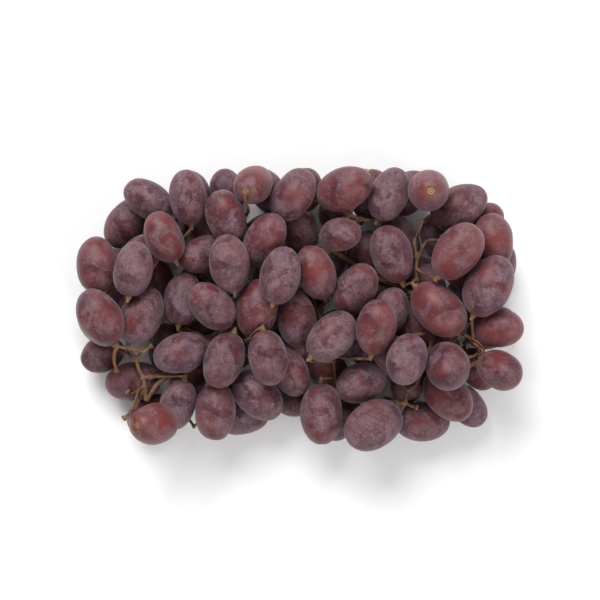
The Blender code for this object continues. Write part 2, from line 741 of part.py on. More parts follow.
def berry_mesh(name, berries, number, segments, rings):
    """An oval with its poles on the berry's axis."""
    axis = berries.axes[number]
    level = np.array([0.0, 0.0, 1.0]) if abs(axis[2]) < 0.9 else np.array([1.0, 0.0, 0.0])
    side = np.cross(level, axis)
    side /= np.linalg.norm(side)
    other = np.cross(axis, side)
    centre = berries.centres[number]
    length, girth = berries.half_lengths[number], berries.half_girths[number]
    verts, faces = [centre - length * axis], []
    for ring in range(1, rings):
        polar = math.pi * ring / rings
        for k in range(segments):
            turn = 2 * math.pi * k / segments
            outward = math.cos(turn) * side + math.sin(turn) * other
            verts.append(centre - length * math.cos(polar) * axis + girth * math.sin(polar) * outward)
    verts.append(centre + length * axis)
    last = len(verts) - 1
    for k in range(segments):
        after = (k + 1) % segments
        faces.append((0, 1 + after, 1 + k))
        faces.append((last, last - segments + k, last - segments + after))
        for ring in range(rings - 2):
            a, b = 1 + ring * segments + k, 1 + ring * segments + after
            faces.append((a, b, b + segments, a + segments))
    mesh = bpy.data.meshes.new(name)
    mesh.from_pydata([tuple(v * MM) for v in verts], [], faces)
    return mesh


def material(name, colour, roughness):
    made = bpy.data.materials.new(name)
    made.use_nodes = True
    shader = made.node_tree.nodes["Principled BSDF"]
    shader.inputs["Base Color"].default_value = colour
    shader.inputs["Roughness"].default_value = roughness
    shader.inputs["Metallic"].default_value = 0.0
    return made


def add_object(name, mesh, finish, shift):
    """Puts the mesh into the scene as a named part, moved to the bunch's own origin."""
    mesh.shade_smooth()
    mesh.materials.clear()
    mesh.materials.append(finish)
    part = bpy.data.objects.new(name, mesh)
    part.location = shift * MM
    bpy.context.scene.collection.objects.link(part)
    return part


def join_meshes(name, meshes):
    """One closed mesh from several that overlap, by a Boolean union."""
    helpers = bpy.data.collections.new(name + "_pieces")
    bpy.context.scene.collection.children.link(helpers)
    base = bpy.data.objects.new(name + "_base", meshes[0])
    bpy.context.scene.collection.objects.link(base)
    for mesh in meshes[1:]:
        helpers.objects.link(bpy.data.objects.new(mesh.name, mesh))
    union = base.modifiers.new("union", "BOOLEAN")
    union.operation = "UNION"
    union.operand_type = "COLLECTION"
    union.collection = helpers
    graph = bpy.context.evaluated_depsgraph_get()
    joined = bpy.data.meshes.new_from_object(base.evaluated_get(graph))
    joined.name = name
    drop_pockets(joined)
    for piece in list(helpers.objects) + [base]:
        bpy.data.objects.remove(piece, do_unlink=True)
    bpy.data.collections.remove(helpers)
    return joined


def drop_pockets(mesh):
    """Removes the small closed pockets that the union leaves where stems meet at a sharp angle."""
    shape = bmesh.new()
    shape.from_mesh(mesh)
    seen = set()
    for face in list(shape.faces):
        if face in seen:
            continue
        shell, edge = [], [face]
        seen.add(face)
        while edge:
            here = edge.pop()
            shell.append(here)
            for link in (other for side in here.edges for other in side.link_faces):
                if link not in seen:
                    seen.add(link)
                    edge.append(link)
        volume = sum(
            part.calc_center_median().dot(part.normal) * part.calc_area() for part in shell
        )
        if volume < 0:
            bmesh.ops.delete(shape, geom=shell, context="FACES")
    shape.to_mesh(mesh)
    shape.free()


def clear_scene():
    for found in list(bpy.data.objects):
        bpy.data.objects.remove(found, do_unlink=True)


def lay_out():
    """The settled berries, the main stems and the pedicels, with which berries are joined."""
    stems = main_stems()
    names = list(stems)
    lines = [line for name in names for line in stems[name]]
    owners = [number - 2 for number, name in enumerate(names) for _ in stems[name]]
    beads = np.vstack([points for points, _ in lines])
    bead_radii = np.concatenate([radii for _, radii in lines])
    bead_owners = np.concatenate([np.full(len(p), owner) for (p, _), owner in zip(lines, owners)])
    laid = UPPER_BERRIES + MIDDLE_BERRIES + tuple(row + (0,) for row in LOWER_BERRIES)
    planned = [tuple(to_bunch([row[:2]])[0]) + row[2:] for row in laid]
    berries = Berries(planned + hidden_rows(planned, beads[bead_owners >= 0]))
    settle(berries, len(planned), beads, bead_radii)
    trunk = bead_owners < 0
    off_trunk = np.linalg.norm(beads[:, None] - beads[trunk][None], axis=2).min(axis=1) > BARE_BASE
    spray_points = [beads[(bead_owners == number) & off_trunk] for number in range(len(SPRAYS))]
    space = FreeSpace(berries, spray_points, beads[trunk], bead_radii[trunk])
    twigs = Twigs()
    twigs.grow(berries, space, spray_points)
    twigs.smooth(berries, beads, bead_radii, bead_owners)
    joined = np.arange(len(berries.centres)) >= len(UPPER_BERRIES)
    return berries, stems, twigs.chains(berries, joined), joined


def main():
    clear_scene()
    berries, stems, chains, joined = lay_out()
    reach = np.sqrt(np.einsum("nii->ni", berries.shapes))
    low, high = (berries.centres - reach).min(axis=0), (berries.centres + reach).max(axis=0)
    shift = np.array([-(low[0] + high[0]) / 2, -(low[1] + high[1]) / 2, 0.0])
    skin = material("grape_skin", BERRY_COLOUR, 0.45)
    bark = material("stem_bark", STEM_COLOUR, 0.75)

    for name, lines in stems.items():
        meshes = [
            tube_mesh(f"{name}_line_{number}", *every_other(*line), STEM_SIDES)
            for number, line in enumerate(lines)
        ]
        spray = list(stems).index(name) - 2
        for number, (berry, owner, points, sizes) in enumerate(chains):
            if owner != spray:
                continue
            kept, kept_sizes = straighten(points[1:], sizes[1:], WAY_SLACK)
            kept, kept_sizes = np.vstack([points[:1], kept]), np.concatenate([sizes[:1], kept_sizes])
            twist = PEDICEL_TWIST * number
            tube = tube_mesh(f"{name}_pedicel_{number}", kept, kept_sizes, TWIG_SIDES, twist)
            meshes.append(tube)
            if joined[berry]:
                oval = berry_mesh(f"{name}_oval", berries, berry, JOINED_SEGMENTS, JOINED_RINGS)
                meshes.append(oval)
        mesh = join_meshes(name, meshes) if len(meshes) > 1 else meshes[0]
        add_object(name, mesh, bark, shift)

    for number in np.nonzero(~joined)[0]:
        mesh = berry_mesh(f"berry_{number + 1:02d}", berries, number, BERRY_SEGMENTS, BERRY_RINGS)
        add_object(mesh.name, mesh, skin, shift)


main()
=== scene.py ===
"""The looks of a bunch of red seedless table grapes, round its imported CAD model.

The CAD holds every berry and stem as a plain solid. This script repeats the rule that laid them
out, so that each fine piece takes the place of its plain one. First comes that rule, in
millimetres. Then come the fine meshes, the materials and the studio.
"""

import math

import bpy
import numpy as np
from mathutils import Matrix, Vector, kdtree

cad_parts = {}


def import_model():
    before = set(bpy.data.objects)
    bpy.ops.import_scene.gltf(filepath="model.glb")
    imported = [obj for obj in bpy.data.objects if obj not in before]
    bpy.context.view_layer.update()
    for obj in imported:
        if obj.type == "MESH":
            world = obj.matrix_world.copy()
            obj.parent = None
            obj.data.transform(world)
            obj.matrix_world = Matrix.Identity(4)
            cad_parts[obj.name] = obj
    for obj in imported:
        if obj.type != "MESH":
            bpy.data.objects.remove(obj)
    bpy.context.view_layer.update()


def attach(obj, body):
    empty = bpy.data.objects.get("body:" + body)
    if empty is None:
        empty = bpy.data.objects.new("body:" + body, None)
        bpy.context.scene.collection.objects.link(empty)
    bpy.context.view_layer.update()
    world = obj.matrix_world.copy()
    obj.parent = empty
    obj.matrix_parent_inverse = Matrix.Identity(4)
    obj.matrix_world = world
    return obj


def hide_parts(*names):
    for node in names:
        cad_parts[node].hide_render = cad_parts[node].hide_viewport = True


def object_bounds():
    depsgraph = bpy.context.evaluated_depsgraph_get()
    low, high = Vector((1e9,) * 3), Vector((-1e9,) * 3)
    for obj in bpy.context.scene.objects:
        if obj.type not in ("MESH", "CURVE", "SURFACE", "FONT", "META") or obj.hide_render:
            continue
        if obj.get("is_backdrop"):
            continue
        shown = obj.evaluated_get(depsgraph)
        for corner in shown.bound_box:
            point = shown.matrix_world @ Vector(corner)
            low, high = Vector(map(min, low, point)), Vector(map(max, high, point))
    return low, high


MM = 0.001

# Driving dimensions, in millimetres.
BUNCH_LENGTH = 201.0
BUNCH_WIDTH = 128.0
BERRY_LENGTH = 25.0
BERRY_DIAMETER = 17.8
RACHIS_DIAMETER = 3.8
SPRAY_DIAMETER = 2.4
PEDICEL_DIAMETER = 1.5
COLLAR_DIAMETER = 3.2
CLEARANCE = 0.3

# The outline seen from above is a rounded rectangle: |x/a|^n + |y/b|^n = 1.
OUTLINE_POWER = 4.0

# The plan below was drawn on a sheet of this size for berries of this diameter. It is stretched
# to the bunch's own size, and its heights follow the berries' own diameter.
PLAN_LENGTH = 192.0
PLAN_WIDTH = 122.0
PLAN_BERRY = 17.0

# Heights of the three layers before the berries settle, in berry diameters.
LAYER_HEIGHTS = (0.55, 1.45, 2.3)

# Upper berries: x, y, heading of the tip, rise of the tip in degrees, size, layer.
UPPER_BERRIES = (
    (-65, 47, 145, 10, 0.96, 2),
    (-43, 46, 98, 0, 0.97, 2),
    (-78, 33, 233, -5, 1.00, 1),
    (-66, 24, 230, 0, 0.96, 0),
    (-70, 17, 80, 0, 0.99, 2),
    (-56, 29, 115, 5, 0.94, 2),
    (-41, 27, 200, 30, 0.97, 2),
    (-87, 16, 95, 0, 1.03, 2),
    (-83, -4, 120, 5, 1.06, 2),
    (-63, -2, 65, 5, 1.08, 2),
    (-87, -12, 120, 15, 1.00, 1),
    (-46, 8, 80, 0, 0.96, 1),
    (-69, -28, 185, 0, 1.02, 0),
    (-60, -47, 0, -60, 1.04, 1),
    (-49, -37, 255, -10, 0.92, 0),
    (-50, -17, 195, 5, 1.00, 2),
    (-21, 53, 50, -65, 0.95, 1),
    (-28, 40, 107, 5, 1.00, 2),
    (-13, 46, 120, 20, 0.92, 0),
    (-15, 32, 60, 20, 1.00, 2),
    (-3, 51, 57, 5, 1.02, 2),
    (18, 52, 20, 30, 1.10, 2),
    (4, 33, 90, 50, 0.95, 1),
    (18, 31, 0, 45, 0.85, 1),
    (36, 47, 67, 5, 1.00, 2),
    (37, 26, 110, 0, 1.07, 2),
    (52, 51, 90, -85, 1.05, 2),
    (70, 44, 30, 0, 1.08, 2),
    (81, 29, 100, 0, 0.97, 1),
    (68, 22, 52, 5, 1.12, 2),
    (81, 7, 63, 0, 1.15, 2),
    (86, 16, 70, 20, 0.96, 0),
    (59, 0, 315, 10, 1.15, 2),
    (86, -9, 3, 40, 1.00, 1),
    (85, -24, 330, 50, 0.96, 1),
    (72, -28, 300, 35, 0.90, 0),
    (61, -27, 275, 65, 1.10, 2),
    (64, -38, 310, 25, 1.08, 1),
    (60, -47, 355, -20, 1.06, 0),
    (33, -50, 205, 30, 1.18, 2),
    (45, -21, 250, 40, 1.00, 1),
    (27, -31, 200, 30, 1.00, 1),
    (10, -42, 271, 5, 1.10, 2),
    (-37, -42, 270, 0, 1.03, 2),
    (-17, -36, 315, 0, 1.06, 2),
    (-22, -44, 185, 0, 1.00, 0),
    (-5, -42, 330, 50, 0.90, 0),
    (-2, -28, 295, 10, 0.93, 1),
)
LOOSE_BERRY = 26

# Berries in the middle of the bunch, laid out in the same way.
MIDDLE_BERRIES = (
    (-28, 21, 100, 10, 1.00, 2),
    (-10, 16, 75, -10, 1.03, 2),
    (8, 15, 110, 15, 0.98, 2),
    (25, 9, 60, 5, 1.02, 2),
    (-36, 2, 130, 20, 0.97, 2),
    (-20, -3, 80, 0, 1.05, 2),
    (-2, -8, 100, 10, 1.00, 2),
    (15, -10, 45, -10, 1.04, 2),
    (32, -8, 80, 10, 1.00, 2),
    (-31, -22, 250, 5, 1.02, 2),
    (-14, -19, 280, -8, 0.98, 2),
    (13, -25, 300, 5, 0.97, 0),
    (43, 0, 60, 20, 0.95, 1),
)

# Lower berries that show between the upper ones: x, y, heading of the tip, rise, size.
LOWER_BERRIES = (
    (-55, 50, 120, 40, 0.92),
    (-74, 2, 150, 0, 0.98),
    (-50, -3, 160, 0, 0.96),
    (-86, -27, 200, 50, 0.92),
    (-72, -43, 215, 30, 0.95),
    (-44, -28, 255, 0, 0.94),
    (-36, 50, 110, 30, 0.86),
    (8, 51, 80, 40, 0.92),
    (64, 48, 60, 35, 0.95),
    (46, 35, 120, 20, 0.95),
    (80, 41, 40, 10, 0.95),
    (51, 17, 130, 25, 0.98),
    (78, -43, 315, 10, 0.92),
    (40, -50, 250, 30, 0.92),
    (46, -34, 260, 10, 0.95),
    (23, -46, 240, 20, 0.95),
    (-59, 11, 100, 0, 0.92),
    (-59, -12, 80, 0, 0.86),
    (56, 31, 100, 0, 0.86),
    (66, -12, 80, 0, 0.88),
    (13, 39, 110, 0, 0.86),
    (24, 23, 70, 0, 0.86),
)

# Places where light passes right through the bunch, so that no lower berry fills them.
SEE_THROUGH = ((-68, 38), (-63, -37), (53, 40), (64, 33), (75, -18), (36, -31), (0, -38))

# Hidden rows of the lower layer, in berry diameters: how far they stay in from the bunch's edge,
# their pitches and shift, and the room that they keep to the others and to a see-through place.
# Their rise is in degrees, and their size and its spread are shares of a berry's.
EDGE_INSET = 0.6
ROW_PITCH_X = 1.12
ROW_PITCH_Y = 0.98
ROW_SHIFT = 0.09
ROW_SPACING = 0.86
GAP_RADIUS = 0.40
ROW_RISE = 15.0
ROW_SIZE, ROW_SIZE_SPREAD = 0.98, 0.05

# Main stems, as x, y, z points. A spray's first line starts on its parent's centre line.
RACHIS = (
    (30, 60, 18), (27, 52, 18), (21, 40, 18), (13, 26, 19), (3, 12, 19), (-10, 1, 19), (-25, -7, 19),
    (-38, -15, 19), (-45, -25, 19), (-52, -28, 20), (-56, -28, 21), (-60, -32, 22), (-62, -34, 22),
    (-66, -40, 21),
)
SHOULDER = (
    (13, 26, 19), (22, 20, 18), (34, 13, 18), (46, 8, 19), (56, 2, 19), (64, -6, 21), (71, -11, 24),
)
SPRAYS = {
    "spray_left_end": (
        ((-66, -40, 21), (-67, -31, 23), (-69, -26, 25), (-70, -22, 26)),
        ((-70, -22, 26), (-67, -19, 27), (-63, -16, 28)),
        ((-67, -35, 22), (-71, -43, 20), (-76, -48, 18)),
        ((-67, -34, 23), (-72, -37, 22), (-74, -36, 23)),
    ),
    "spray_left_middle": (
        ((-38, -15, 19), (-47, -10, 18), (-57, -5, 18), (-67, 5, 18), (-76, 12, 18)),
    ),
    "spray_left_top": (
        ((-25, -7, 19), (-36, 8, 18), (-48, 18, 18), (-58, 27, 18), (-66, 36, 18)),
    ),
    "spray_top_left": (
        ((-10, 1, 19), (-16, 14, 18), (-21, 28, 18), (-27, 40, 18)),
    ),
    "spray_top_right": (
        ((21, 40, 18), (30, 38, 18), (38, 39, 18)),
    ),
    "spray_bottom_left": (
        ((-25, -7, 19), (-27, -20, 18), (-29, -32, 18), (-28, -43, 19)),
        ((-29, -33, 18), (-40, -46, 13), (-46, -52, 11)),
    ),
    "spray_bottom_middle": (
        ((3, 12, 19), (9, -3, 18), (14, -18, 18), (16, -32, 18)),
    ),
    "spray_right_top": (
        ((50, 5, 19), (51, 12, 20), (51, 20, 22), (54, 27, 24), (56, 29, 24), (61, 29, 23)),
        ((51, 22, 22), (50, 29, 23), (52, 33, 25), (53, 37, 26)),
    ),
    "spray_right_end": (
        ((71, -11, 24), (75, -14, 25), (78, -19, 24), (79, -22, 22), (74, -25, 20)),
        ((71, -21, 22), (75, -21, 22), (78, -19, 24)),
    ),
    "spray_right_bottom": (
        ((60, -2, 20), (58, -13, 19), (55, -24, 18), (51, -33, 18), (47, -36, 19), (46, -41, 21)),
        ((46, -41, 21), (48, -42, 22), (51, -43, 23)),
        ((46, -41, 21), (42, -41, 22)),
    ),
}

# The first stems, the rachis and the shoulder, are the trunk. The others are the sprays.
TRUNK_STEMS = 2

# How finely the stems are worked out, and how thick the shoulder and the side lines start, as
# shares of what they leave.
FINE_PITCH = 0.5
SIGHT_SAMPLES = 7
BEAD_PITCH = 2.5
SHOULDER_SHARE = 0.8
SIDE_LINE_SHARE = 0.8

# Settling: steps, passes in each, and the last passes that only open the gaps.
SETTLE_STEPS = 220
PASSES_PER_STEP = 3
CLOSING_PASSES = 1100
FALL_PER_STEP = 0.30
PULL_TO_PLAN = 0.15
PULL_TO_ROW = 0.02
BUD_LENGTH = 2.4
SEPARATION_SHARES = (0.3, 0.5, 0.7)
SETTLE_STRENGTH = 0.6
CLOSING_STRENGTH = 0.5
NEIGHBOUR_RANGE = 3.0
SPARE_GAP = 0.05
SETTLE_LOOK = 5  # steps between two looks for the pairs that are near each other
CLOSING_LOOK = 10

# Pedicels: the mesh of free places, the slack kept round a way, and how near the trunk a spray
# bears none.
CELL = 1.6
WAY_SLACK = 0.3
SMOOTHING_PASSES = 75
SMOOTHING_EASES = (0.5, 0.5, 0.3, 0.15, 0.0)
PUSHES_PER_PASS = 2
COLLAR_LENGTH = 1.5
BUD_OUTSET = 0.5
SPACE_MARGIN = 16.0
START_REACHES = (2, 4, 7)
BARE_BASE = 5.0
START_CLOSENESS = 4.0
LOAD_POWER = 0.3


def to_bunch(points):
    """Plan points stretched from the sheet to the bunch's own length and width."""
    stretch = np.array([BUNCH_LENGTH / PLAN_LENGTH, BUNCH_WIDTH / PLAN_WIDTH, 1.0])
    points = np.array(points, float)
    return points * stretch[: points.shape[1]]


def lift(points):
    """Stem points whose heights follow the berries' diameter."""
    return to_bunch(points) * np.array([1.0, 1.0, BERRY_DIAMETER / PLAN_BERRY])


def spline(points, pitch):
    """Points about a pitch apart on a smooth curve through the given ones."""
    points = np.asarray(points, float)
    ends = np.vstack([2 * points[0] - points[1], points, 2 * points[-1] - points[-2]])
    out = []
    for before, start, stop, after in zip(ends, ends[1:], ends[2:], ends[3:]):
        count = max(1, round(np.linalg.norm(stop - start) / pitch))
        for t in np.arange(count) / count:
            bend = 2 * before - 5 * start + 4 * stop - after
            twist = 3 * start - before - 3 * stop + after
            out.append(start + 0.5 * t * (stop - before + t * (bend + t * twist)))
    out.append(points[-1])
    return np.array(out)


def distances(points, others):
    """How far each point is from each of the others."""
    return np.linalg.norm(points[:, None] - others[None], axis=2)


def clear_start(points, radius, parents, parent_radius):
    """The line from where it comes clear of its parent stems, keeping the gap between them."""
    apart = distances(points, parents).min(axis=1)
    touching = np.nonzero(apart < radius + parent_radius + CLEARANCE + SPARE_GAP)[0]
    return points[touching[-1] + 1 :] if len(touching) else points


def beads_along(points):
    """About every bead's pitch along a finely drawn line, with its last point."""
    step = round(BEAD_PITCH / FINE_PITCH)
    return points[np.unique(np.append(np.arange(0, len(points), step), len(points) - 1))]


def direction(heading, rise):
    """The unit vector at this heading from +X, raised by this angle."""
    turn, up = math.radians(heading), math.radians(rise)
    return np.array([math.cos(up) * math.cos(turn), math.cos(up) * math.sin(turn), math.sin(up)])


def start_radius(number):
    """How thick a spray's line starts: its first line is thicker than its side lines."""
    return SPRAY_DIAMETER / 2 * (1.0 if number == 0 else SIDE_LINE_SHARE)


def main_stems():
    """Each main stem's name, with its lines as (points, radii)."""
    thick, thin = RACHIS_DIAMETER / 2, SPRAY_DIAMETER / 2
    rachis = spline(lift(RACHIS), FINE_PITCH)
    shoulder = clear_start(spline(lift(SHOULDER), FINE_PITCH), thick, rachis, thick)
    trunk = np.vstack([rachis, shoulder])
    stems = {
        "rachis": [tapered(rachis, thick, thin)],
        "shoulder": [tapered(shoulder, SHOULDER_SHARE * thick, thin)],
    }
    for name, lines in SPRAYS.items():
        stems[name] = []
        for number, line in enumerate(lines):
            points = spline(lift(line), FINE_PITCH)
            if number == 0:
                points = clear_start(points, thin, trunk, thick)
            stems[name].append(tapered(points, start_radius(number), PEDICEL_DIAMETER / 2))
    return stems


def tapered(points, start, end):
    """The beads along a line, with radii that run from its start to its end."""
    beads = beads_along(points)
    return beads, np.linspace(start, end, len(beads))


def inside_outline(x, y):
    """Whether a plan point lies in the rounded outline of the lower layer."""
    inset = EDGE_INSET * BERRY_DIAMETER
    half_x, half_y = 0.5 * BUNCH_LENGTH - inset, 0.5 * BUNCH_WIDTH - inset
    return (abs(x) / half_x) ** OUTLINE_POWER + (abs(y) / half_y) ** OUTLINE_POWER < 1.0


def hidden_rows(planned, stem_points):
    """Lower berries in staggered rows, wherever the planned ones leave room on the surface.

    Sines of the row and column numbers shift, turn and scale them, so that they look chance.
    """
    taken = [row[:2] for row in planned if row[5] == 0]
    gaps = to_bunch(SEE_THROUGH)
    rows = []
    pitch_x, pitch_y = ROW_PITCH_X * BERRY_DIAMETER, ROW_PITCH_Y * BERRY_DIAMETER
    shift = ROW_SHIFT * BERRY_DIAMETER
    columns = int(BUNCH_LENGTH / pitch_x) + 1
    lines = int(BUNCH_WIDTH / pitch_y) + 1
    for line in range(-lines // 2, lines // 2 + 1):
        for column in range(-columns // 2, columns // 2 + 1):
            x = pitch_x * (column + 0.5 * (line % 2)) + shift * math.sin(3.1 * line + 1.7 * column)
            y = pitch_y * line + shift * math.sin(2.3 * column + 0.9 * line)
            near = min(math.hypot(x - spot[0], y - spot[1]) for spot in taken)
            gap = min(math.hypot(x - hole[0], y - hole[1]) for hole in gaps)
            crowded = near < ROW_SPACING * BERRY_DIAMETER or gap < GAP_RADIUS * BERRY_DIAMETER
            if crowded or not inside_outline(x, y):
                continue
            away = np.array([x, y]) - stem_points[:, :2]
            nearest = away[np.argmin(np.linalg.norm(away, axis=1))]
            heading = math.degrees(math.atan2(nearest[1], nearest[0]))
            rise = ROW_RISE * math.sin(1.3 * column + 2.1 * line)
            size = ROW_SIZE + ROW_SIZE_SPREAD * math.sin(2.9 * column - 1.1 * line)
            rows.append((x, y, heading, rise, size, 0))
            taken.append((x, y))
    return rows


class Berries:
    """All the berries: their centres, axes from stem end to tip, and half sizes."""

    def __init__(self, rows):
        spots = np.array([row[:2] for row in rows], float)
        heights = [LAYER_HEIGHTS[row[5]] * BERRY_DIAMETER for row in rows]
        sizes = np.array([row[4] for row in rows])
        self.plan = spots
        self.centres = np.column_stack([spots, heights])
        self.axes = np.array([direction(row[2], row[3]) for row in rows])
        self.half_lengths = 0.5 * BERRY_LENGTH * sizes
        self.half_girths = 0.5 * BERRY_DIAMETER * sizes
        self.shapes = oval_shapes(self.axes, self.half_lengths, self.half_girths)
        rises = self.axes[:, 2] ** 2
        self.lowest = np.sqrt(
            self.half_girths**2 + (self.half_lengths**2 - self.half_girths**2) * rises
        )

    def keep_in_outline(self):
        """Brings each berry back above the surface and inside the bunch's rounded outline."""
        self.centres[:, 2] = np.maximum(self.centres[:, 2], self.lowest)
        half = 0.5 * np.array([BUNCH_LENGTH, BUNCH_WIDTH])
        room = half - np.sqrt(np.einsum("nii->ni", self.shapes))[:, :2]
        share = ((np.abs(self.centres[:, :2]) / room) ** OUTLINE_POWER).sum(axis=1)
        self.centres[:, :2] /= np.maximum(share, 1.0)[:, None] ** (1 / OUTLINE_POWER)

    def stem_ends(self, outward):
        """Points this far outside each berry's stem end."""
        return self.centres - self.axes * (self.half_lengths + outward)[:, None]


def oval_shapes(axes, half_lengths, half_girths):
    """The matrix A of each oval, whose reach along a unit vector n is sqrt(n A n)."""
    girth = (half_girths**2)[:, None, None] * np.eye(3)
    extra = (half_lengths**2 - half_girths**2)[:, None, None]
    return girth + extra * axes[:, :, None] * axes[:, None, :]


def gaps_between(offsets, shapes_a, shapes_b):
    """The gap between two ovals along the best of a few normals, and that normal."""
    best = np.full(len(offsets), -np.inf)
    normals = np.zeros_like(offsets)
    for share in SEPARATION_SHARES:
        mixed = (1 - share) * shapes_a + share * shapes_b
        trial = np.linalg.solve(mixed, offsets[:, :, None])[:, :, 0]
        trial /= np.linalg.norm(trial, axis=1, keepdims=True)
        reach_a = np.sqrt(np.einsum("ni,nij,nj->n", trial, shapes_a, trial))
        reach_b = np.sqrt(np.einsum("ni,nij,nj->n", trial, shapes_b, trial))
        gap = np.einsum("ni,ni->n", offsets, trial) - reach_a - reach_b
        better = gap > best
        best[better] = gap[better]
        normals[better] = trial[better]
    return best, normals


def ball_shapes(radii):
    return (np.asarray(radii) ** 2)[:, None, None] * np.eye(3)


def settle(berries, planned, beads, bead_radii):
    """Lets the berries down onto the surface and each other, round the fixed stems.

    The first berries are the planned ones, and keep to their places more firmly than the rest.
    Each berry holds a small bud clear at its stem end, where its pedicel will leave.
    """
    count = len(berries.centres)
    pulls = np.where(np.arange(count) < planned, PULL_TO_PLAN, PULL_TO_ROW)
    bud_radii = np.full(count, COLLAR_DIAMETER / 2)
    shapes = np.concatenate([berries.shapes, ball_shapes(bud_radii), ball_shapes(bead_radii)])
    reach = np.concatenate([berries.half_lengths, bud_radii, bead_radii])
    owner = np.concatenate([np.arange(count), np.arange(count), np.full(len(beads), -1)])

    def places():
        return np.vstack([berries.centres, berries.stem_ends(BUD_LENGTH), beads])

    def near_pairs():
        spots = places()
        apart = distances(spots, spots)
        close = apart < reach[:, None] + reach[None] + NEIGHBOUR_RANGE
        first, second = np.nonzero(np.triu(close, 1))
        buds = (first >= count) & (second >= count)
        keep = (owner[first] != owner[second]) & ~buds
        return first[keep], second[keep]

    def open_gaps(first, second, wanted, strength):
        spots = places()
        gap, normal = gaps_between(spots[second] - spots[first], shapes[first], shapes[second])
        short = np.maximum(wanted - gap, 0.0)
        held = (owner[first] < 0) | (owner[second] < 0)
        push = normal * (strength * short * np.where(held, 1.0, 0.5))[:, None]
        moves = np.zeros_like(berries.centres)
        for ends, sign in ((first, -1.0), (second, 1.0)):
            free = owner[ends] >= 0
            np.add.at(moves, owner[ends][free], sign * push[free])
        berries.centres += moves
        berries.keep_in_outline()
        return gap.min() if len(gap) else wanted

    wanted = CLEARANCE + SPARE_GAP
    for step in range(SETTLE_STEPS):
        if step % SETTLE_LOOK == 0:
            pairs = near_pairs()
        berries.centres[:, :2] += pulls[:, None] * (berries.plan - berries.centres[:, :2])
        berries.centres[:, 2] -= FALL_PER_STEP
        for _ in range(PASSES_PER_STEP):
            open_gaps(*pairs, wanted, SETTLE_STRENGTH)
    for step in range(CLOSING_PASSES):
        if step % CLOSING_LOOK == 0:
            pairs = near_pairs()
        if open_gaps(*pairs, wanted, CLOSING_STRENGTH) > CLEARANCE:
            break


def block_of_cells(start, stop):
    """The indices of all the cells between two corners."""
    return np.stack(np.meshgrid(*[np.arange(a, b) for a, b in zip(start, stop)], indexing="ij"), -1)


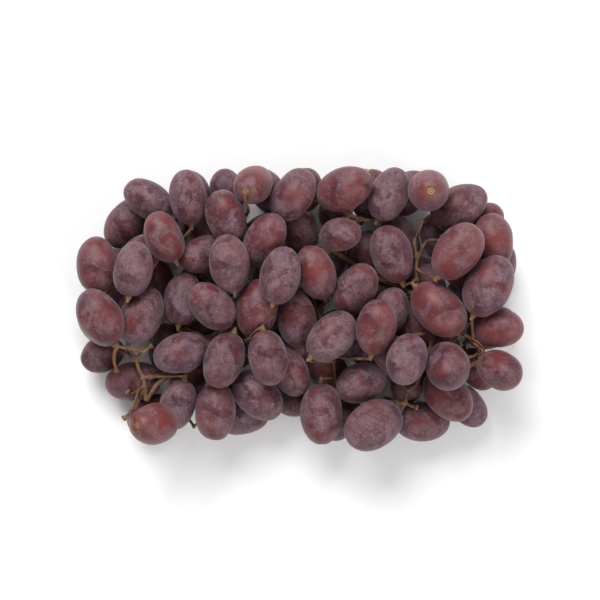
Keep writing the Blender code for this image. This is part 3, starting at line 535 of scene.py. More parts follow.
class FreeSpace:
    """A mesh of cells over the bunch, each with its shortest free way to a spray."""

    STEPS = [
        np.array([i, j, k])
        for i in (-1, 0, 1)
        for j in (-1, 0, 1)
        for k in (-1, 0, 1)
        if (i, j, k) != (0, 0, 0)
    ]

    def __init__(self, berries, sprays, others, other_radii):
        low = berries.centres.min(axis=0) - SPACE_MARGIN
        low[2] = -2 * CELL
        high = berries.centres.max(axis=0) + SPACE_MARGIN
        self.low = low
        self.size = np.ceil((high - low) / CELL).astype(int)
        self.trunk, self.trunk_radii = others, other_radii
        self.free = self.clear_of(berries, others, other_radii)
        self.reach = np.full(self.size, np.inf)
        self.owner = np.full(self.size, -1)
        self.came = np.full(self.size, -1)
        for number, points in enumerate(sprays):
            cells = self.cells_of(points)
            self.reach[tuple(cells.T)] = 0.0
            self.owner[tuple(cells.T)] = number
            self.free[tuple(cells.T)] = True
        self.spread()

    def cells_of(self, points):
        return np.round((points - self.low) / CELL).astype(int)

    def place_of(self, cell):
        return self.low + np.asarray(cell) * CELL

    def clear_of(self, berries, others, other_radii):
        """The cells where a pedicel's centre clears the surface, the berries and other stems."""
        room = PEDICEL_DIAMETER / 2 + CLEARANCE + WAY_SLACK
        free = np.ones(self.size, bool)
        for face in (0, -1):
            free[face], free[:, face], free[:, :, face] = False, False, False
        free[:, :, : int((room - self.low[2]) / CELL) + 1] = False
        balls = [(p, (r**2) * np.eye(3), r) for p, r in zip(others, other_radii)]
        ovals = list(zip(berries.centres, berries.shapes, berries.half_lengths))
        for centre, shape, radius in balls + ovals:
            window = radius + room + CELL
            start = np.maximum(self.cells_of(centre - window), 0)
            stop = np.minimum(self.cells_of(centre + window) + 1, self.size)
            offset = self.place_of(block_of_cells(start, stop)) - centre
            normal = offset @ np.linalg.inv(shape)
            normal /= np.maximum(np.linalg.norm(normal, axis=-1, keepdims=True), 1e-9)
            reach = np.sqrt(np.einsum("...i,ij,...j->...", normal, shape, normal))
            block = tuple(slice(a, b) for a, b in zip(start, stop))
            free[block] &= np.einsum("...i,...i->...", offset, normal) - reach > room
        return free

    def spread(self):
        """Works outwards from the sprays until no cell finds a shorter way."""
        changed = True
        while changed:
            changed = False
            for number, step in enumerate(self.STEPS):
                trial = np.roll(self.reach, step, (0, 1, 2)) + CELL * np.linalg.norm(step)
                better = self.free & (trial < self.reach - 1e-6)
                if not better.any():
                    continue
                changed = True
                self.reach[better] = trial[better]
                self.came[better] = number
                self.owner[better] = np.roll(self.owner, step, (0, 1, 2))[better]

    def start_near(self, point):
        """The reached cell that is best to start from, near a pedicel's first point."""
        middle = self.cells_of(point)
        for radius in START_REACHES:
            start, stop = np.maximum(middle - radius, 0), np.minimum(middle + radius + 1, self.size)
            cells = block_of_cells(start, stop).reshape(-1, 3)
            reach = self.reach[tuple(cells.T)]
            known = np.isfinite(reach) & self.in_sight(point, cells)
            if known.any():
                cells, reach = cells[known], reach[known]
                away = np.linalg.norm(self.place_of(cells) - point, axis=1)
                return tuple(cells[np.argmin(reach + START_CLOSENESS * away)])
        raise ValueError("a pedicel has no free way out from its berry")

    def in_sight(self, point, cells):
        """Which cells a straight pedicel from this point reaches clear of the trunk."""
        shares = np.linspace(0.0, 1.0, SIGHT_SAMPLES)[:, None, None]
        spots = point + shares * (self.place_of(cells) - point)
        apart = np.linalg.norm(spots[:, :, None] - self.trunk, axis=3)
        wanted = self.trunk_radii + PEDICEL_DIAMETER / 2 + CLEARANCE
        return (apart >= np.minimum(wanted, apart[0])).all(axis=(0, 2))

    def way_from(self, cell):
        """The cells from this one back to its spray, and the spray's number."""
        way = [cell]
        while self.came[way[-1]] >= 0 and self.reach[way[-1]] > 0:
            way.append(tuple(np.array(way[-1]) - self.STEPS[self.came[way[-1]]]))
        return way, self.owner[cell]


class Twigs:
    """The pedicels as one tree for each spray, from the berries back to the spray's line."""

    def __init__(self):
        self.points = []
        self.parents = []
        self.sprays = []
        self.held = []
        self.loads = []
        self.ends = []
        self.cells = {}

    def add(self, point, parent, spray, held):
        self.points.append(np.array(point, float))
        self.parents.append(parent)
        self.sprays.append(spray)
        self.held.append(held)
        self.loads.append(0)
        return len(self.points) - 1

    def grow(self, berries, space, spray_points):
        """Adds a pedicel for every berry except the loose one, and counts what each point bears."""
        buds = berries.stem_ends(COLLAR_LENGTH + BUD_OUTSET)
        for number, bud in enumerate(buds):
            if number == LOOSE_BERRY:
                continue
            start = space.start_near(bud)
            way, spray = space.way_from(start)
            parent = self.parent_of(way, spray, space, spray_points[spray])
            base = self.add(bud, parent, spray, True)
            self.ends.append((number, base))
            while base >= 0:
                self.loads[base] += 1
                base = self.parents[base]

    def parent_of(self, way, spray, space, line):
        """The tree point at the start of this way, adding what isn't in the tree yet."""
        last = space.place_of(way[-1])
        parent = self.cells.get(way[-1])
        if parent is None:
            nearest = line[np.argmin(np.linalg.norm(line - last, axis=1))]
            parent = self.cells[way[-1]] = self.add(nearest, -1, spray, True)
        for cell in reversed(way[:-1]):
            if cell not in self.cells:
                self.cells[cell] = self.add(space.place_of(cell), parent, spray, False)
            parent = self.cells[cell]
        return parent

    def smooth(self, berries, others, other_radii, other_sprays):
        """Draws the ways straight, and holds them off the berries and off other sprays' stems."""
        points = np.array(self.points)
        parents = np.array(self.parents)
        free = ~np.array(self.held)
        radii = self.radii()
        linked = np.nonzero(parents >= 0)[0]
        wanted = CLEARANCE + WAY_SLACK
        for step in range(SMOOTHING_PASSES):
            before = points.copy()
            total, ties = np.zeros_like(points), np.zeros(len(points))
            for here, there in ((linked, parents[linked]), (parents[linked], linked)):
                np.add.at(total, here, points[there])
                np.add.at(ties, here, 1.0)
            middle = total / np.maximum(ties, 1.0)[:, None]
            ease = SMOOTHING_EASES[len(SMOOTHING_EASES) * step // SMOOTHING_PASSES]
            points[free] += ease * (middle - points)[free]
            for _ in range(PUSHES_PER_PASS):
                points[free] += push_off_berries(points, radii, berries, wanted)[free]
            points[:, 2] = np.maximum(points[:, 2], radii + CLEARANCE)
            blocked = self.near_stems(points, radii, others, other_radii, other_sprays, wanted)
            points[blocked & free] = before[blocked & free]
        self.points = list(points)

    def near_stems(self, points, radii, others, other_radii, other_sprays, wanted):
        """Which points are too near another spray's stems, or the trunk's."""
        blocked = np.zeros(len(points), bool)
        sprays = np.array(self.sprays)
        for spots, sizes, owners in ((points, radii, sprays), (others, other_radii, other_sprays)):
            near = distances(points, spots) < radii[:, None] + sizes[None] + wanted
            blocked |= (near & (sprays[:, None] != owners[None])).any(axis=1)
        return blocked

    def radii(self):
        """A stem that bears more berries is thicker, up to the spray's own line."""
        grown = PEDICEL_DIAMETER / 2 * np.maximum(self.loads, 1) ** LOAD_POWER
        return np.minimum(grown, SPRAY_DIAMETER / 2)

    def chains(self, berries):
        """Each pedicel as (berry, spray, points, radii), down to the first point already drawn."""
        radii, drawn, out = self.radii(), set(), []
        for berry, base in self.ends:
            axis = berries.axes[berry]
            neck = berries.centres[berry] - axis * (berries.half_lengths[berry] + COLLAR_LENGTH)
            points, sizes = [neck], [PEDICEL_DIAMETER / 2]
            here = self.parents[base]
            while here >= 0:
                points.append(self.points[here])
                sizes.append(radii[here])
                if here in drawn:
                    break
                drawn.add(here)
                here = self.parents[here]
            out.append((berry, self.sprays[base], np.array(points), np.array(sizes)))
        return out


def push_off_berries(points, radii, berries, wanted):
    """The moves that bring stem points clear of every berry."""
    apart = distances(points, berries.centres)
    near = apart < berries.half_lengths[None] + radii[:, None] + NEIGHBOUR_RANGE
    stem, berry = np.nonzero(near)
    offsets = points[stem] - berries.centres[berry]
    gap, normal = gaps_between(offsets, berries.shapes[berry], ball_shapes(radii[stem]))
    moves = np.zeros_like(points)
    np.add.at(moves, stem, normal * np.maximum(wanted - gap, 0.0)[:, None])
    return moves


def lay_out():
    """The settled berries, the main stems and the pedicels."""
    stems = main_stems()
    names = list(stems)
    lines = [line for name in names for line in stems[name]]
    owners = [number - TRUNK_STEMS for number, name in enumerate(names) for _ in stems[name]]
    beads = np.vstack([points for points, _ in lines])
    bead_radii = np.concatenate([radii for _, radii in lines])
    bead_owners = np.concatenate([np.full(len(p), owner) for (p, _), owner in zip(lines, owners)])
    laid = UPPER_BERRIES + MIDDLE_BERRIES + tuple(row + (0,) for row in LOWER_BERRIES)
    planned = [tuple(to_bunch([row[:2]])[0]) + row[2:] for row in laid]
    berries = Berries(planned + hidden_rows(planned, beads[bead_owners >= 0]))
    settle(berries, len(planned), beads, bead_radii)
    trunk = bead_owners < 0
    off_trunk = distances(beads, beads[trunk]).min(axis=1) > BARE_BASE
    spray_points = [beads[(bead_owners == number) & off_trunk] for number in range(len(SPRAYS))]
    space = FreeSpace(berries, spray_points, beads[trunk], bead_radii[trunk])
    twigs = Twigs()
    twigs.grow(berries, space, spray_points)
    twigs.smooth(berries, beads, bead_radii, bead_owners)
    return berries, stems, twigs.chains(berries)


# How red and how dusty each upper berry looks, in the order of UPPER_BERRIES: g is grey with
# bloom, m is between, r is red and c is crimson with little bloom.
UPPER_TONES = "gmmmgrmrrmmgrcggrmgmmrmmgmrmrrmmrcrmmrmmggmmgmmm"
LOWER_TONES = "mgrmmr"
TONE_LOOKS = {"g": (0.12, 0.80), "m": (0.40, 0.62), "r": (0.70, 0.48), "c": (1.0, 0.32)}

# Fine berries: how finely each is drawn, how far its skin swells past the plain one, how blunt,
# slim, tapered and bent it is, its lumps, how much its looks vary, and its two dimples.
FIRST_SEED = 1000
GRAPE_SEGMENTS = 60
GRAPE_RINGS = 48
GRAPE_SWELL = 0.12
FULLNESS = 0.93
GIRTH_SHARE = 0.98
TAPER_RANGE = (-0.06, 0.04)
BEND = 0.25
LUMP_HEIGHT = 0.10
LUMP_PACE = 2.2
REDNESS_SPREAD, BLOOM_SPREAD = 0.12, 0.10
STEM_DIMPLE, STEM_DIMPLE_RADIUS = 0.55, 1.8
TIP_DIMPLE, TIP_DIMPLE_RADIUS = 0.18, 0.9

# How many sine waves make up the lumps of a berry or the ridges of a stem.
WAVE_COUNT = 6

# Fine stems: how finely each is drawn, its skin, and how far apart its swellings are, in points
# of the fine line. Rings are pairs of a distance along an axis and a radius.
TUBE_SIDES = 14
TUBE_PITCH = 0.5
STEM_VOXEL = 0.26
STEM_SMOOTHING = 4
STEM_SHRINK_SPARE = 0.06
STEM_ROUGH_HEIGHT = 0.09
STEM_ROUGH_PACE = 2.6
STEM_WAVE = 0.06
STEM_SLIMNESS = 0.84
COLLAR_RINGS = (
    (-0.8, 1.05), (0.1, 1.5), (0.4, 1.75), (0.75, 1.6), (1.3, 1.1), (2.2, 0.85), (3.2, 0.7),
)
FIRST_NODE, LAST_NODE, NODE_PITCH = 12, 6, 24
NODE_SWELL = 1.1
JOINT_SWELL = 1.35
COLLAR_INSET = 0.35
KNOB_RINGS = ((1.6, 0.8), (0.9, 1.05), (0.35, 1.5), (0.0, 1.6), (-0.3, 1.3))
TWIG_SIZES = (0.95, 1.12)
COLLAR_SIZES = (0.9, 1.08)

# How green the bark is at each kind of joint, how far that reaches, how far a collar's green lies
# from its seat, and how far the cut wood reaches, in rachis diameters.
NODE_GREEN = 0.5
BASE_GREEN = 0.9
KNOB_GREEN = 1.0
JOINT_GREEN = 0.7
COLLAR_GREENS = (0.5, 1.0)
GREEN_REACH = 2.2
GREEN_OUTSET = 1.2
CUT_REACH = 0.55

# The loose berry's scar: a lobed ring round a nub.
SCAR_RADIUS = 1.15
SCAR_INSET = 0.3
SCAR_POINTS = 33
SCAR_LOBES = 5
SCAR_THICKNESS, SCAR_LOBE = 0.30, 0.06
NUB_RINGS = ((-0.6, 0.45), (0.0, 0.5), (0.25, 0.4), (0.35, 0.15))

# Thin dried curls beside the knob at the right end, laid out like the main stems.
CURLS = (
    ((74, -13, 27), (76, -14, 29), (79, -17, 30), (80, -20, 29), (78, -24, 28), (75, -25, 27)),
    ((75, -15, 28), (78, -18, 29), (78, -21, 30), (76, -23, 29)),
    ((79, -19, 28), (81, -21, 29), (80, -24, 28), (77, -23, 28), (77, -20, 29), (79, -18, 29)),
    ((71, -12, 27), (68, -13, 28), (66, -15, 29), (66, -18, 30)),
    ((70, -12, 26), (68, -11, 28), (66, -12, 30), (64, -15, 31)),
)
CURL_SIDES = 8
CURL_RADII = (0.34, 0.16)
CURL_SEED = 5
CURL_WANDER = 0.05
CURL_WAVE = 0.18

# A dried stalk that hangs beside the last spray at the left, and the radii of its two ends.
DRY_STALK = ((-76.8, -16.4, 36.8), (-78.4, -19.0, 33.0), (-79.0, -23.0, 28.5), (-78.4, -27.0, 23.6))
DRY_STALK_RADII = (0.85, 0.62)
DRY_KNOB_SIZE = 0.85

# Which lines of a spray end in a bare collar that has lost its berry.
BARE_LINES = {"spray_left_end": (1, 2, 3), "spray_right_bottom": (1, 2)}

# Colours, as linear red, green, blue and alpha, with how fully some of them cover.
SKIN_DARK = (0.046, 0.012, 0.021, 1.0)
SKIN_RED = (0.155, 0.029, 0.027, 1.0)
SKIN_AT_STEM = (0.175, 0.070, 0.040, 1.0)
BLOOM_COLOUR = (0.153, 0.083, 0.098, 1.0)
MARK_COLOUR = (0.350, 0.225, 0.255, 1.0)
BLOOM_COVER = 0.80
MARK_COVER = 0.34
SCAR_COVER = 0.7
TIP_COLOUR = (0.120, 0.070, 0.045, 1.0)
BARK_GOLD = (0.245, 0.122, 0.074, 1.0)
BARK_BROWN = (0.150, 0.066, 0.045, 1.0)
BARK_DARK = (0.085, 0.038, 0.029, 1.0)
BARK_GREEN = (0.225, 0.150, 0.064, 1.0)
CUT_COLOUR = (0.420, 0.300, 0.140, 1.0)
DRY_COLOUR = (0.260, 0.105, 0.040, 1.0)

# The studio, in metres and watts: a lamp's name, place, width and power.
CARD_COLOURS = ((0.90, 0.90, 0.90, 1.0), (0.93, 0.93, 0.93, 1.0))
FLOOR_HALF_WIDTH = 3.0
FLOOR_GAP = 0.0002
WORLD_STRENGTH = 0.40
LAMPS = (
    ("key_light", (-0.30, 0.90, 1.05), 0.9, 20.5),
    ("fill_light", (0.60, -0.70, 0.95), 0.9, 8.5),
)
CAMERA_LENS = 100.0
CAMERA_SENSOR = 36.0
FIELD_WIDTH = 0.270
CAMERA_X = 0.0005
CAMERA_Y = 0.0034


def new_object(name, verts, faces, finish):
    """A shown object from points in millimetres."""
    mesh = bpy.data.meshes.new(name)
    mesh.from_pydata((np.asarray(verts) * MM).tolist(), [], faces)
    return show(name, mesh, finish)


def show(name, mesh, finish):
    mesh.shade_smooth()
    mesh.materials.clear()
    mesh.materials.append(finish)
    piece = bpy.data.objects.new(name, mesh)
    bpy.context.scene.collection.objects.link(piece)
    return piece


def store(mesh, name, kind, values):
    """A value for each point of the mesh, for its material to read."""
    field = {"FLOAT_VECTOR": "vector", "FLOAT_COLOR": "color"}[kind]
    mesh.attributes.new(name, kind, "POINT").data.foreach_set(
        field, np.asarray(values, np.float32).ravel()
    )


def frame_round(axis):
    """Two unit vectors square to this one and to each other."""
    level = np.array([0.0, 0.0, 1.0]) if abs(axis[2]) < 0.9 else np.array([1.0, 0.0, 0.0])
    side = np.cross(level, axis)
    side /= np.linalg.norm(side)
    return side, np.cross(axis, side)


def chance_waves(rng, points, pace):
    """At each point, the sum of a few sine waves that run in chance directions."""
    return sum(
        np.sin(points @ rng.normal(0.0, pace, 3) + rng.uniform(0.0, 2 * math.pi))
        for _ in range(WAVE_COUNT)
    )


def grape_faces():
    """The faces of a berry whose first point is its stem pole and whose last is its tip."""
    faces, rings, count = [], GRAPE_RINGS, GRAPE_SEGMENTS
    last = 1 + (rings - 1) * count
    for k in range(count):
        after = (k + 1) % count
        faces.append((0, 1 + after, 1 + k))
        faces.append((last, last - count + k, last - count + after))
        for ring in range(rings - 2):
            a, b = 1 + ring * count + k, 1 + ring * count + after
            faces.append((a, b, b + count, a + count))
    return faces


def add_grape(name, berries, number, tone, faces, finish, shift):
    """A berry with full shoulders, soft lumps, a dimple at its stem and a small scar at its tip."""
    rng = np.random.default_rng(FIRST_SEED + number)
    polar = math.pi * np.arange(1, GRAPE_RINGS) / GRAPE_RINGS
    turn = 2 * math.pi * np.arange(GRAPE_SEGMENTS) / GRAPE_SEGMENTS
    polar, turn = (grid.ravel() for grid in np.meshgrid(polar, turn, indexing="ij"))
    ring = np.column_stack(
        [-np.cos(polar), np.sin(polar) * np.cos(turn), np.sin(polar) * np.sin(turn)]
    )
    unit = np.vstack([[-1.0, 0.0, 0.0], ring, [1.0, 0.0, 0.0]])
    half = np.array([berries.half_lengths[number]] + 2 * [berries.half_girths[number]])
    place = unit * (half + GRAPE_SWELL)
    blunt = np.maximum(np.hypot(unit[:, 1], unit[:, 2]), 1e-3) ** (FULLNESS - 1.0)
    taper = 1.0 + rng.uniform(*TAPER_RANGE) * unit[:, 0]
    place[:, 1:] *= (blunt * taper * GIRTH_SHARE)[:, None]
    place[:, 1] += rng.uniform(-BEND, BEND) * (1.0 - unit[:, 0] ** 2)
    place += unit * (LUMP_HEIGHT * chance_waves(rng, unit, LUMP_PACE))[:, None]
    off_axis = np.hypot(place[:, 1], place[:, 2])
    stem_side, tip_side = unit[:, 0] < 0, unit[:, 0] > 0
    place[:, 0] += STEM_DIMPLE * np.exp(-((off_axis / STEM_DIMPLE_RADIUS) ** 2)) * stem_side
    place[:, 0] -= TIP_DIMPLE * np.exp(-((off_axis / TIP_DIMPLE_RADIUS) ** 2)) * tip_side
    ends = np.column_stack(
        [
            np.linalg.norm(place - place[0], axis=1),
            np.linalg.norm(place - place[-1], axis=1),
            np.full(len(place), 1.0 if number == LOOSE_BERRY else 0.0),
        ]
    )
    redness, bloom = TONE_LOOKS[tone]
    redness += rng.uniform(-REDNESS_SPREAD, REDNESS_SPREAD)
    bloom += rng.uniform(-BLOOM_SPREAD, BLOOM_SPREAD)
    axis = berries.axes[number]
    verts = berries.centres[number] + place @ np.array([axis, *frame_round(axis)]) + shift
    grape = new_object(name, verts, faces, finish)
    store(grape.data, "place", "FLOAT_VECTOR", place)
    store(grape.data, "ends", "FLOAT_VECTOR", ends)
    looks = np.tile([redness, bloom, rng.uniform(), 1.0], (len(place), 1))
    store(grape.data, "looks", "FLOAT_COLOR", looks)
    return grape


class Shell:
    """Closed tubes and beads, gathered to be fused into one stem."""

    def __init__(self):
        self.verts = []
        self.faces = []

    def tube(self, points, radii, sides=TUBE_SIDES):
        points, radii = np.asarray(points, float), np.asarray(radii, float)
        tangents = np.gradient(points, axis=0)
        tangents /= np.maximum(np.linalg.norm(tangents, axis=1, keepdims=True), 1e-9)
        side = frame_round(tangents[0])[0]
        first = len(self.verts)
        for point, tangent, radius in zip(points, tangents, radii):
            side = side - tangent * (side @ tangent)
            side /= np.linalg.norm(side)
            other = np.cross(tangent, side)
            for k in range(sides):
                turn = 2 * math.pi * k / sides
                self.verts.append(point + radius * (math.cos(turn) * side + math.sin(turn) * other))
        for ring in range(len(points) - 1):
            for k in range(sides):
                a, b = first + ring * sides + k, first + ring * sides + (k + 1) % sides
                self.faces.append((a, b, b + sides, a + sides))
        self.faces.append(tuple(first + k for k in reversed(range(sides))))
        self.faces.append(tuple(range(len(self.verts) - sides, len(self.verts))))

    def bead(self, centre, radius):
        """A round swelling, as a short tube that bulges."""
        heights = np.linspace(-0.95, 0.95, 7)
        points = centre + np.outer(heights * radius, [0.0, 0.0, 1.0])
        self.tube(points, radius * np.sqrt(1.0 - heights**2))

    def rings_along(self, start, axis, rings, size):
        """A turned shape: each ring is a distance along the axis and a radius."""
        offsets, radii = np.array(rings).T
        self.tube(start + np.outer(offsets, axis), radii * size)

    def knob(self, points, size):
        """The swollen bare end of a line that has lost its berry."""
        along = points[-1] - points[-4]
        self.rings_along(points[-1], -along / np.linalg.norm(along), KNOB_RINGS, size)

    def shown(self, name, finish, shift):
        return new_object(name, np.array(self.verts) + shift, self.faces, finish)


def resample(points, radii, pitch):
    """A smooth line through the points, with the radii between theirs."""
    drawn = spline(np.column_stack([points, radii]), pitch)
    return drawn[:, :3], drawn[:, 3]


def stem_lines(name, lines):
    """A main stem's lines for drawing, each from its parent's own centre line."""
    if name in SPRAYS:
        drawn = []
        for number, line in enumerate(SPRAYS[name]):
            points = spline(lift(line), FINE_PITCH)
            radii = np.linspace(start_radius(number), PEDICEL_DIAMETER / 2, len(points))
            drawn.append((points, radii))
        return drawn
    route = RACHIS if name == "rachis" else SHOULDER
    points = spline(lift(route), FINE_PITCH)
    return [(points, np.linspace(lines[0][1][0], lines[0][1][-1], len(points)))]


def add_stem(name, lines, twigs, berries, finish, shift):
    """A stem with all its pedicels, collars and joints, fused into one skin."""
    rng = np.random.default_rng(sum(map(ord, name)))
    shell, joints = Shell(), []
    for number, (points, radii) in enumerate(stem_lines(name, lines)):
        wave = STEM_SLIMNESS * (1.0 + STEM_WAVE * np.sin(np.arange(len(points)) * 0.9 + number))
        shell.tube(points, radii * wave + STEM_SHRINK_SPARE)
        for step in range(FIRST_NODE, len(points) - LAST_NODE, NODE_PITCH):
            shell.bead(points[step], NODE_SWELL * radii[step])
            joints.append((points[step], NODE_GREEN))
        joints.append((points[0], BASE_GREEN))
        if number in BARE_LINES.get(name, ()):
            shell.knob(points, 1.0)
            joints.append((points[-1], KNOB_GREEN))
    for berry, points, radii in twigs:
        smooth, sizes = resample(points, radii, TUBE_PITCH)
        shell.tube(smooth, STEM_SLIMNESS * sizes * rng.uniform(*TWIG_SIZES) + STEM_SHRINK_SPARE)
        shell.bead(points[-1], JOINT_SWELL * radii[-1])
        joints.append((points[-1], JOINT_GREEN))
        axis = berries.axes[berry]
        seat = berries.centres[berry] - axis * (berries.half_lengths[berry] - COLLAR_INSET)
        shell.rings_along(seat, -axis, COLLAR_RINGS, rng.uniform(*COLLAR_SIZES))
        joints.append((seat - GREEN_OUTSET * axis, rng.uniform(*COLLAR_GREENS)))
    mesh = fused(shell.shown(name + "_raw", finish, shift))
    stem = show("stem_" + name, mesh, finish)
    roughen(mesh, rng)
    paint_joints(mesh, joints, shift)
    return stem


def fused(raw):
    """The raw tubes as one closed skin with rounded joints."""
    remesh = raw.modifiers.new("fuse", "REMESH")
    remesh.mode = "VOXEL"
    remesh.voxel_size = STEM_VOXEL * MM
    smooth = raw.modifiers.new("soften", "SMOOTH")
    smooth.factor = 0.5
    smooth.iterations = STEM_SMOOTHING
    graph = bpy.context.evaluated_depsgraph_get()
    mesh = bpy.data.meshes.new_from_object(raw.evaluated_get(graph))
    bpy.data.objects.remove(raw, do_unlink=True)
    return mesh


def points_of(mesh):
    points = np.empty(len(mesh.vertices) * 3, np.float32)
    mesh.vertices.foreach_get("co", points)
    return points.reshape(-1, 3).astype(float)


def roughen(mesh, rng):
    """Small ridges and hollows all over the bark."""
    points = points_of(mesh)
    normals = np.empty(len(mesh.vertices) * 3, np.float32)
    mesh.vertex_normals.foreach_get("vector", normals)
    wave = chance_waves(rng, points / MM, STEM_ROUGH_PACE)
    points += normals.reshape(-1, 3) * (STEM_ROUGH_HEIGHT / 2.5 * MM * wave)[:, None]
    mesh.vertices.foreach_set("co", points.astype(np.float32).ravel())
    mesh.update()


def paint_joints(mesh, joints, shift):
    """Stores how green each point of the bark is, from the joints near it, and where it is cut."""
    tree = kdtree.KDTree(len(joints))
    for index, (spot, _) in enumerate(joints):
        tree.insert(Vector((spot + shift) * MM), index)
    tree.balance()
    green = []
    for vertex in mesh.vertices:
        _, index, away = tree.find(vertex.co)
        green.append(joints[index][1] * math.exp(-((away / MM / GREEN_REACH) ** 2)))
    cut = lift(RACHIS)[0] + shift
    near_cut = np.linalg.norm(points_of(mesh) / MM - cut, axis=1) < CUT_REACH * RACHIS_DIAMETER
    store(mesh, "growth", "FLOAT_VECTOR", np.column_stack([green, near_cut, np.zeros(len(green))]))


def evenly_grown(piece, growth):
    """The piece, with the same growth all over: how green, how cut and how dried its bark is."""
    count = len(piece.data.vertices)
    store(piece.data, "growth", "FLOAT_VECTOR", np.tile(growth, (count, 1)))
    return piece


def add_scar(berries, finish, shift):
    """The loose berry's pedicel scar: a raised ring round a small nub."""
    axis = berries.axes[LOOSE_BERRY]
    side, other = frame_round(axis)
    seat = berries.centres[LOOSE_BERRY] - axis * (berries.half_lengths[LOOSE_BERRY] - SCAR_INSET)
    shell = Shell()
    turns = np.linspace(0.0, 2 * math.pi, SCAR_POINTS)
    ring = seat + SCAR_RADIUS * (np.outer(np.cos(turns), side) + np.outer(np.sin(turns), other))
    shell.tube(ring, SCAR_THICKNESS + SCAR_LOBE * np.sin(SCAR_LOBES * turns))
    shell.rings_along(seat, -axis, NUB_RINGS, 1.0)
    return evenly_grown(shell.shown("scar_of_loose_berry", finish, shift), (0.3, 1.0, 0.0))


def add_curls(finish, shift):
    """Thin dried curls at the right end of the bunch, and the dried stalk at the left."""
    rng = np.random.default_rng(CURL_SEED)
    shell = Shell()
    for number, line in enumerate(CURLS):
        points = spline(lift(line), TUBE_PITCH)
        count = len(points)
        wander = np.cumsum(rng.normal(0.0, CURL_WANDER, (count, 3)), axis=0)
        knuckles = 1.0 + CURL_WAVE * np.sin(np.arange(count) * 0.8 + number)
        shell.tube(points + wander, np.linspace(*CURL_RADII, count) * knuckles, CURL_SIDES)
    stalk = spline(lift(DRY_STALK), TUBE_PITCH)
    shell.tube(stalk, np.linspace(*DRY_STALK_RADII, len(stalk)))
    shell.knob(stalk, DRY_KNOB_SIZE)
    return evenly_grown(shell.shown("dried_curls", finish, shift), (0.25, 0.0, 1.0))


class Recipe:
    """A material's nodes, each made and wired in one call."""

    def __init__(self, name):
        self.material = bpy.data.materials.new(name)
        self.material.use_nodes = True
        self.tree = self.material.node_tree
        self.tree.nodes.clear()

    def add(self, kind, inputs=None, **settings):
        node = self.tree.nodes.new("ShaderNode" + kind)
        for name, value in settings.items():
            setattr(node, name, value)
        for name, value in (inputs or {}).items():
            self.feed(node.inputs[name], value)
        return node

    def feed(self, socket, value):
        if isinstance(value, bpy.types.NodeSocket):
            self.tree.links.new(value, socket)
        else:
            socket.default_value = value

    def math(self, operation, a, b=0.0, clamp=False):
        node = self.add("Math", {0: a, 1: b}, operation=operation, use_clamp=clamp)
        return node.outputs[0]

    def parts(self, name, kind, split):
        """The three parts of a value that the mesh stores for each point."""
        whole = self.add("Attribute", attribute_name=name).outputs[kind]
        return self.add(split, {0: whole}).outputs

    def lay_on(self, base, colour, amount, share):
        """The base with this colour over it, by a share of the amount."""
        return self.mix(self.math("MULTIPLY", amount, share), base, colour)

    def total(self, *terms):
        """The sum of (value, share) terms."""
        out = 0.0
        for value, share in terms:
            out = self.math("ADD", self.math("MULTIPLY", value, share), out)
        return out

    def step(self, value, low, high, to_low=0.0, to_high=1.0):
        """The value run smoothly from one range to another."""
        node = self.add(
            "MapRange",
            {"Value": value, "From Min": low, "From Max": high, "To Min": to_low, "To Max": to_high},
            interpolation_type="SMOOTHSTEP",
        )
        return node.outputs["Result"]

    def mix(self, share, a, b):
        node = self.add("Mix", data_type="RGBA")
        self.feed(node.inputs["Factor"], share)
        self.feed(node.inputs[6], a)
        self.feed(node.inputs[7], b)
        return node.outputs[2]

    def noise(self, place, scale, detail=2.0, distortion=0.0):
        inputs = {"Vector": place, "Scale": scale, "Detail": detail, "Distortion": distortion}
        return self.add("TexNoise", inputs).outputs["Fac"]

    def spots(self, place, scale, radius):
        """Round dots, 1 in each dot and 0 between them."""
        cells = self.add("TexVoronoi", {"Vector": place, "Scale": scale}).outputs["Distance"]
        return self.step(cells, radius, 0.5 * radius)

    def moved(self, place, by):
        node = self.add("VectorMath", {0: place, 1: by}, operation="ADD")
        return node.outputs["Vector"]

    def stretched(self, place, by):
        node = self.add("VectorMath", {0: place, 1: by}, operation="MULTIPLY")
        return node.outputs["Vector"]

    def finish(self, shader):
        output = self.add("OutputMaterial")
        self.tree.links.new(shader.outputs[0], output.inputs["Surface"])
        return self.material


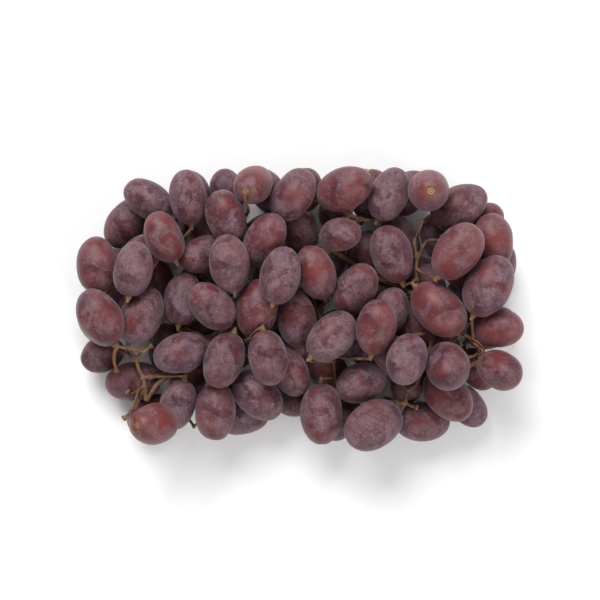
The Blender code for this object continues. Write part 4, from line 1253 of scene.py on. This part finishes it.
def grape_skin():
    """Dark red skin under a lilac-grey bloom that is rubbed, scratched and speckled, with a faint
    painted rim sheen.
    """
    r = Recipe("grape_skin")
    redness, dust, seed = r.parts("looks", "Color", "SeparateColor")
    from_stem, from_tip, loose = r.parts("ends", "Vector", "SeparateXYZ")
    place = r.add("Attribute", attribute_name="place").outputs["Vector"]
    along, across = r.math("MULTIPLY", seed, 97.0), r.math("MULTIPLY", seed, 53.0)
    start = r.add("CombineXYZ", {0: along, 1: across, 2: 0.0})
    place = r.moved(place, start.outputs[0])

    broad = r.noise(place, 0.08, 2.0, 0.5)
    clouds = r.noise(r.moved(place, (31.0, 7.0, 3.0)), 0.13, 5.0, 0.25)
    mottle = r.noise(place, 0.55, 6.0)
    grain = r.noise(place, 1.9, 5.0)
    ripe = r.total((redness, 0.75), (broad, 1.8), (mottle, 0.3), (1.0, -0.95))
    skin = r.mix(r.step(ripe, 0.0, 1.0), SKIN_DARK, SKIN_RED)
    near_stem = r.step(from_stem, 6.0, 1.0)
    skin = r.lay_on(skin, SKIN_AT_STEM, near_stem, 0.55)

    rubbed = r.step(r.noise(r.moved(place, (3.0, 41.0, 9.0)), 0.10, 4.0, 0.6), 0.50, 0.56)
    # Painted rim sheen: a little more pale bloom where the skin turns away from straight up, standing
    # in for the lighter rims that light gives.
    upward = r.add("SeparateXYZ", {0: r.add("NewGeometry").outputs["Normal"]}).outputs[2]
    painted_rim_sheen = r.step(upward, 0.95, 0.25)
    lines = r.noise(r.stretched(place, (0.16, 0.42, 0.3)), 1.0, 2.0, 0.6)
    lines = r.step(r.math("ABSOLUTE", r.math("SUBTRACT", lines, 0.5)), 0.012, 0.002)
    lines = r.math("MULTIPLY", lines, r.step(clouds, 0.48, 0.62))
    dots = r.spots(place, 0.75, 0.17)
    bloom = r.total(
        (dust, 0.85), (clouds, 1.1), (mottle, 1.0), (grain, 1.3), (rubbed, -0.34), (lines, 0.30),
        (dots, 0.22), (near_stem, -0.18), (painted_rim_sheen, 0.04), (1.0, -1.62),
    )
    bloom = r.step(bloom, 0.0, 1.0)
    colour = r.lay_on(skin, BLOOM_COLOUR, bloom, BLOOM_COVER)
    marks = r.total(
        (grain, 1.9), (mottle, 1.0), (clouds, 1.4), (lines, 0.70), (dots, 0.50), (dust, 0.50),
        (1.0, -2.28),
    )
    marks = r.math("SUBTRACT", marks, r.math("MULTIPLY", rubbed, 0.30))
    marks = r.step(marks, 0.0, 0.9)
    colour = r.lay_on(colour, MARK_COLOUR, marks, MARK_COVER)
    ring = r.math("MULTIPLY", loose, r.step(from_stem, 2.4, 1.5))
    for scar in (ring, r.step(from_tip, 0.75, 0.35)):
        colour = r.lay_on(colour, TIP_COLOUR, scar, SCAR_COVER)

    relief = r.total((grain, 0.35), (mottle, 0.5), (bloom, 0.35), (dots, 0.2))
    bump = r.add("Bump", {"Height": relief, "Strength": 0.35, "Distance": 0.15 * MM})
    shader = r.add(
        "BsdfPrincipled",
        {
            "Base Color": colour,
            "Roughness": r.step(bloom, 0.0, 1.0, 0.40, 0.66),
            "Normal": bump.outputs[0],
            "IOR": 1.42,
            "Specular IOR Level": 0.40,
            "Subsurface Weight": 0.12,
            "Subsurface Radius": (1.0, 0.30, 0.25),
            "Subsurface Scale": 3.0 * MM,
            "Sheen Weight": 0.22,
            "Sheen Roughness": 0.45,
            "Sheen Tint": (0.80, 0.72, 0.80, 1.0),
        },
    )
    return r.finish(shader)


def stem_bark():
    """Golden-brown bark with darker streaks and pores, green at its joints, pale where it is cut."""
    r = Recipe("stem_bark")
    joint, cut, dried = r.parts("growth", "Vector", "SeparateXYZ")
    place = r.add("TexCoord").outputs["Object"]
    blotch = r.noise(place, 160.0, 4.0, 0.5)
    streak = r.noise(place, 700.0, 4.0, 0.8)
    grain = r.noise(place, 2600.0, 3.0)
    pores = r.spots(place, 900.0, 0.22)
    wood = r.mix(r.step(blotch, 0.3, 0.7), BARK_DARK, BARK_GOLD)
    wood = r.lay_on(wood, BARK_BROWN, r.step(streak, 0.5, 0.72), 0.6)
    wood = r.lay_on(wood, BARK_GREEN, joint, r.step(blotch, 0.25, 0.7, 0.2, 0.8))
    wood = r.lay_on(wood, BARK_DARK, pores, 0.5)
    wood = r.lay_on(wood, CUT_COLOUR, cut, 0.8)
    wood = r.lay_on(wood, DRY_COLOUR, dried, r.step(blotch, 0.3, 0.6, 0.5, 0.9))
    relief = r.total((streak, 0.6), (grain, 0.3), (pores, -0.4))
    bump = r.add("Bump", {"Height": relief, "Strength": 0.6, "Distance": 0.15 * MM})
    shader = r.add(
        "BsdfPrincipled",
        {
            "Base Color": wood,
            "Roughness": r.step(streak, 0.3, 0.7, 0.55, 0.78),
            "Normal": bump.outputs[0],
            "Specular IOR Level": 0.35,
            "Subsurface Weight": 0.08,
            "Subsurface Radius": (1.0, 0.7, 0.3),
            "Subsurface Scale": 0.8 * MM,
        },
    )
    return r.finish(shader)


def floor_card():
    """Matt white card with the faintest grain."""
    r = Recipe("floor_card")
    place = r.add("TexCoord").outputs["Object"]
    colour = r.mix(r.noise(place, 40.0, 3.0), *CARD_COLOURS)
    grain = r.noise(place, 900.0, 2.0)
    bump = r.add("Bump", {"Height": grain, "Strength": 0.1, "Distance": 0.1 * MM}).outputs[0]
    return r.finish(r.add("BsdfPrincipled", {"Base Color": colour, "Roughness": 0.8, "Normal": bump}))


def add_studio(low, high):
    """The floor, the soft light and the camera, which looks straight down on the bunch."""
    reach = FLOOR_HALF_WIDTH
    level = low.z - FLOOR_GAP
    sides = ((-reach, -reach), (reach, -reach), (reach, reach), (-reach, reach))
    mesh = bpy.data.meshes.new("floor")
    mesh.from_pydata([(x, y, level) for x, y in sides], [], [(0, 1, 2, 3)])
    floor = show("floor", mesh, floor_card())
    floor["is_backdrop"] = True

    world = bpy.data.worlds.new("studio")
    world.use_nodes = True
    background = world.node_tree.nodes["Background"].inputs
    background["Color"].default_value = (1.0, 1.0, 1.0, 1.0)
    background["Strength"].default_value = WORLD_STRENGTH
    bpy.context.scene.world = world

    for name, place, size, power in LAMPS:
        lamp = bpy.data.lights.new(name, "AREA")
        lamp.shape = "DISK"
        lamp.size = size
        lamp.energy = power
        holder = bpy.data.objects.new(name, lamp)
        holder.location = place
        holder.rotation_euler = (-Vector(place)).to_track_quat("-Z", "Y").to_euler()
        bpy.context.scene.collection.objects.link(holder)

    camera = bpy.data.cameras.new("camera")
    camera.lens = CAMERA_LENS
    camera.sensor_width = CAMERA_SENSOR
    distance = FIELD_WIDTH * CAMERA_LENS / CAMERA_SENSOR
    holder = bpy.data.objects.new("camera", camera)
    holder.location = (CAMERA_X, CAMERA_Y, 0.5 * (low.z + high.z) + distance)
    bpy.context.scene.collection.objects.link(holder)
    bpy.context.scene.camera = holder
    bpy.context.scene.view_settings.view_transform = "Standard"


def main():
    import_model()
    berries, stems, chains = lay_out()
    reach = np.sqrt(np.einsum("nii->ni", berries.shapes))
    low, high = (berries.centres - reach).min(axis=0), (berries.centres + reach).max(axis=0)
    shift = np.array([-(low[0] + high[0]) / 2, -(low[1] + high[1]) / 2, 0.0])
    names = list(stems)
    skin, bark = grape_skin(), stem_bark()
    faces = grape_faces()
    owner = {berry: names[spray + TRUNK_STEMS] for berry, spray, _, _ in chains}

    for number in range(len(berries.centres)):
        upper = number < len(UPPER_BERRIES)
        tone = UPPER_TONES[number] if upper else LOWER_TONES[number % len(LOWER_TONES)]
        grape = add_grape(f"grape_{number + 1:02d}", berries, number, tone, faces, skin, shift)
        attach(grape, "root")
        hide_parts(f"berry_{number + 1:02d}" if upper else owner[number])

    for spray, name in enumerate(names):
        own = spray - TRUNK_STEMS
        twigs = [(berry, points, radii) for berry, of, points, radii in chains if of == own]
        stem = add_stem(name, stems[name], twigs, berries, bark, shift)
        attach(stem, "root")
        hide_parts(name)

    for detail in (add_scar(berries, bark, shift), add_curls(bark, shift)):
        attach(detail, "root")

    low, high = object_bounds()
    add_studio(low, high)
    low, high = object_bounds()


main()
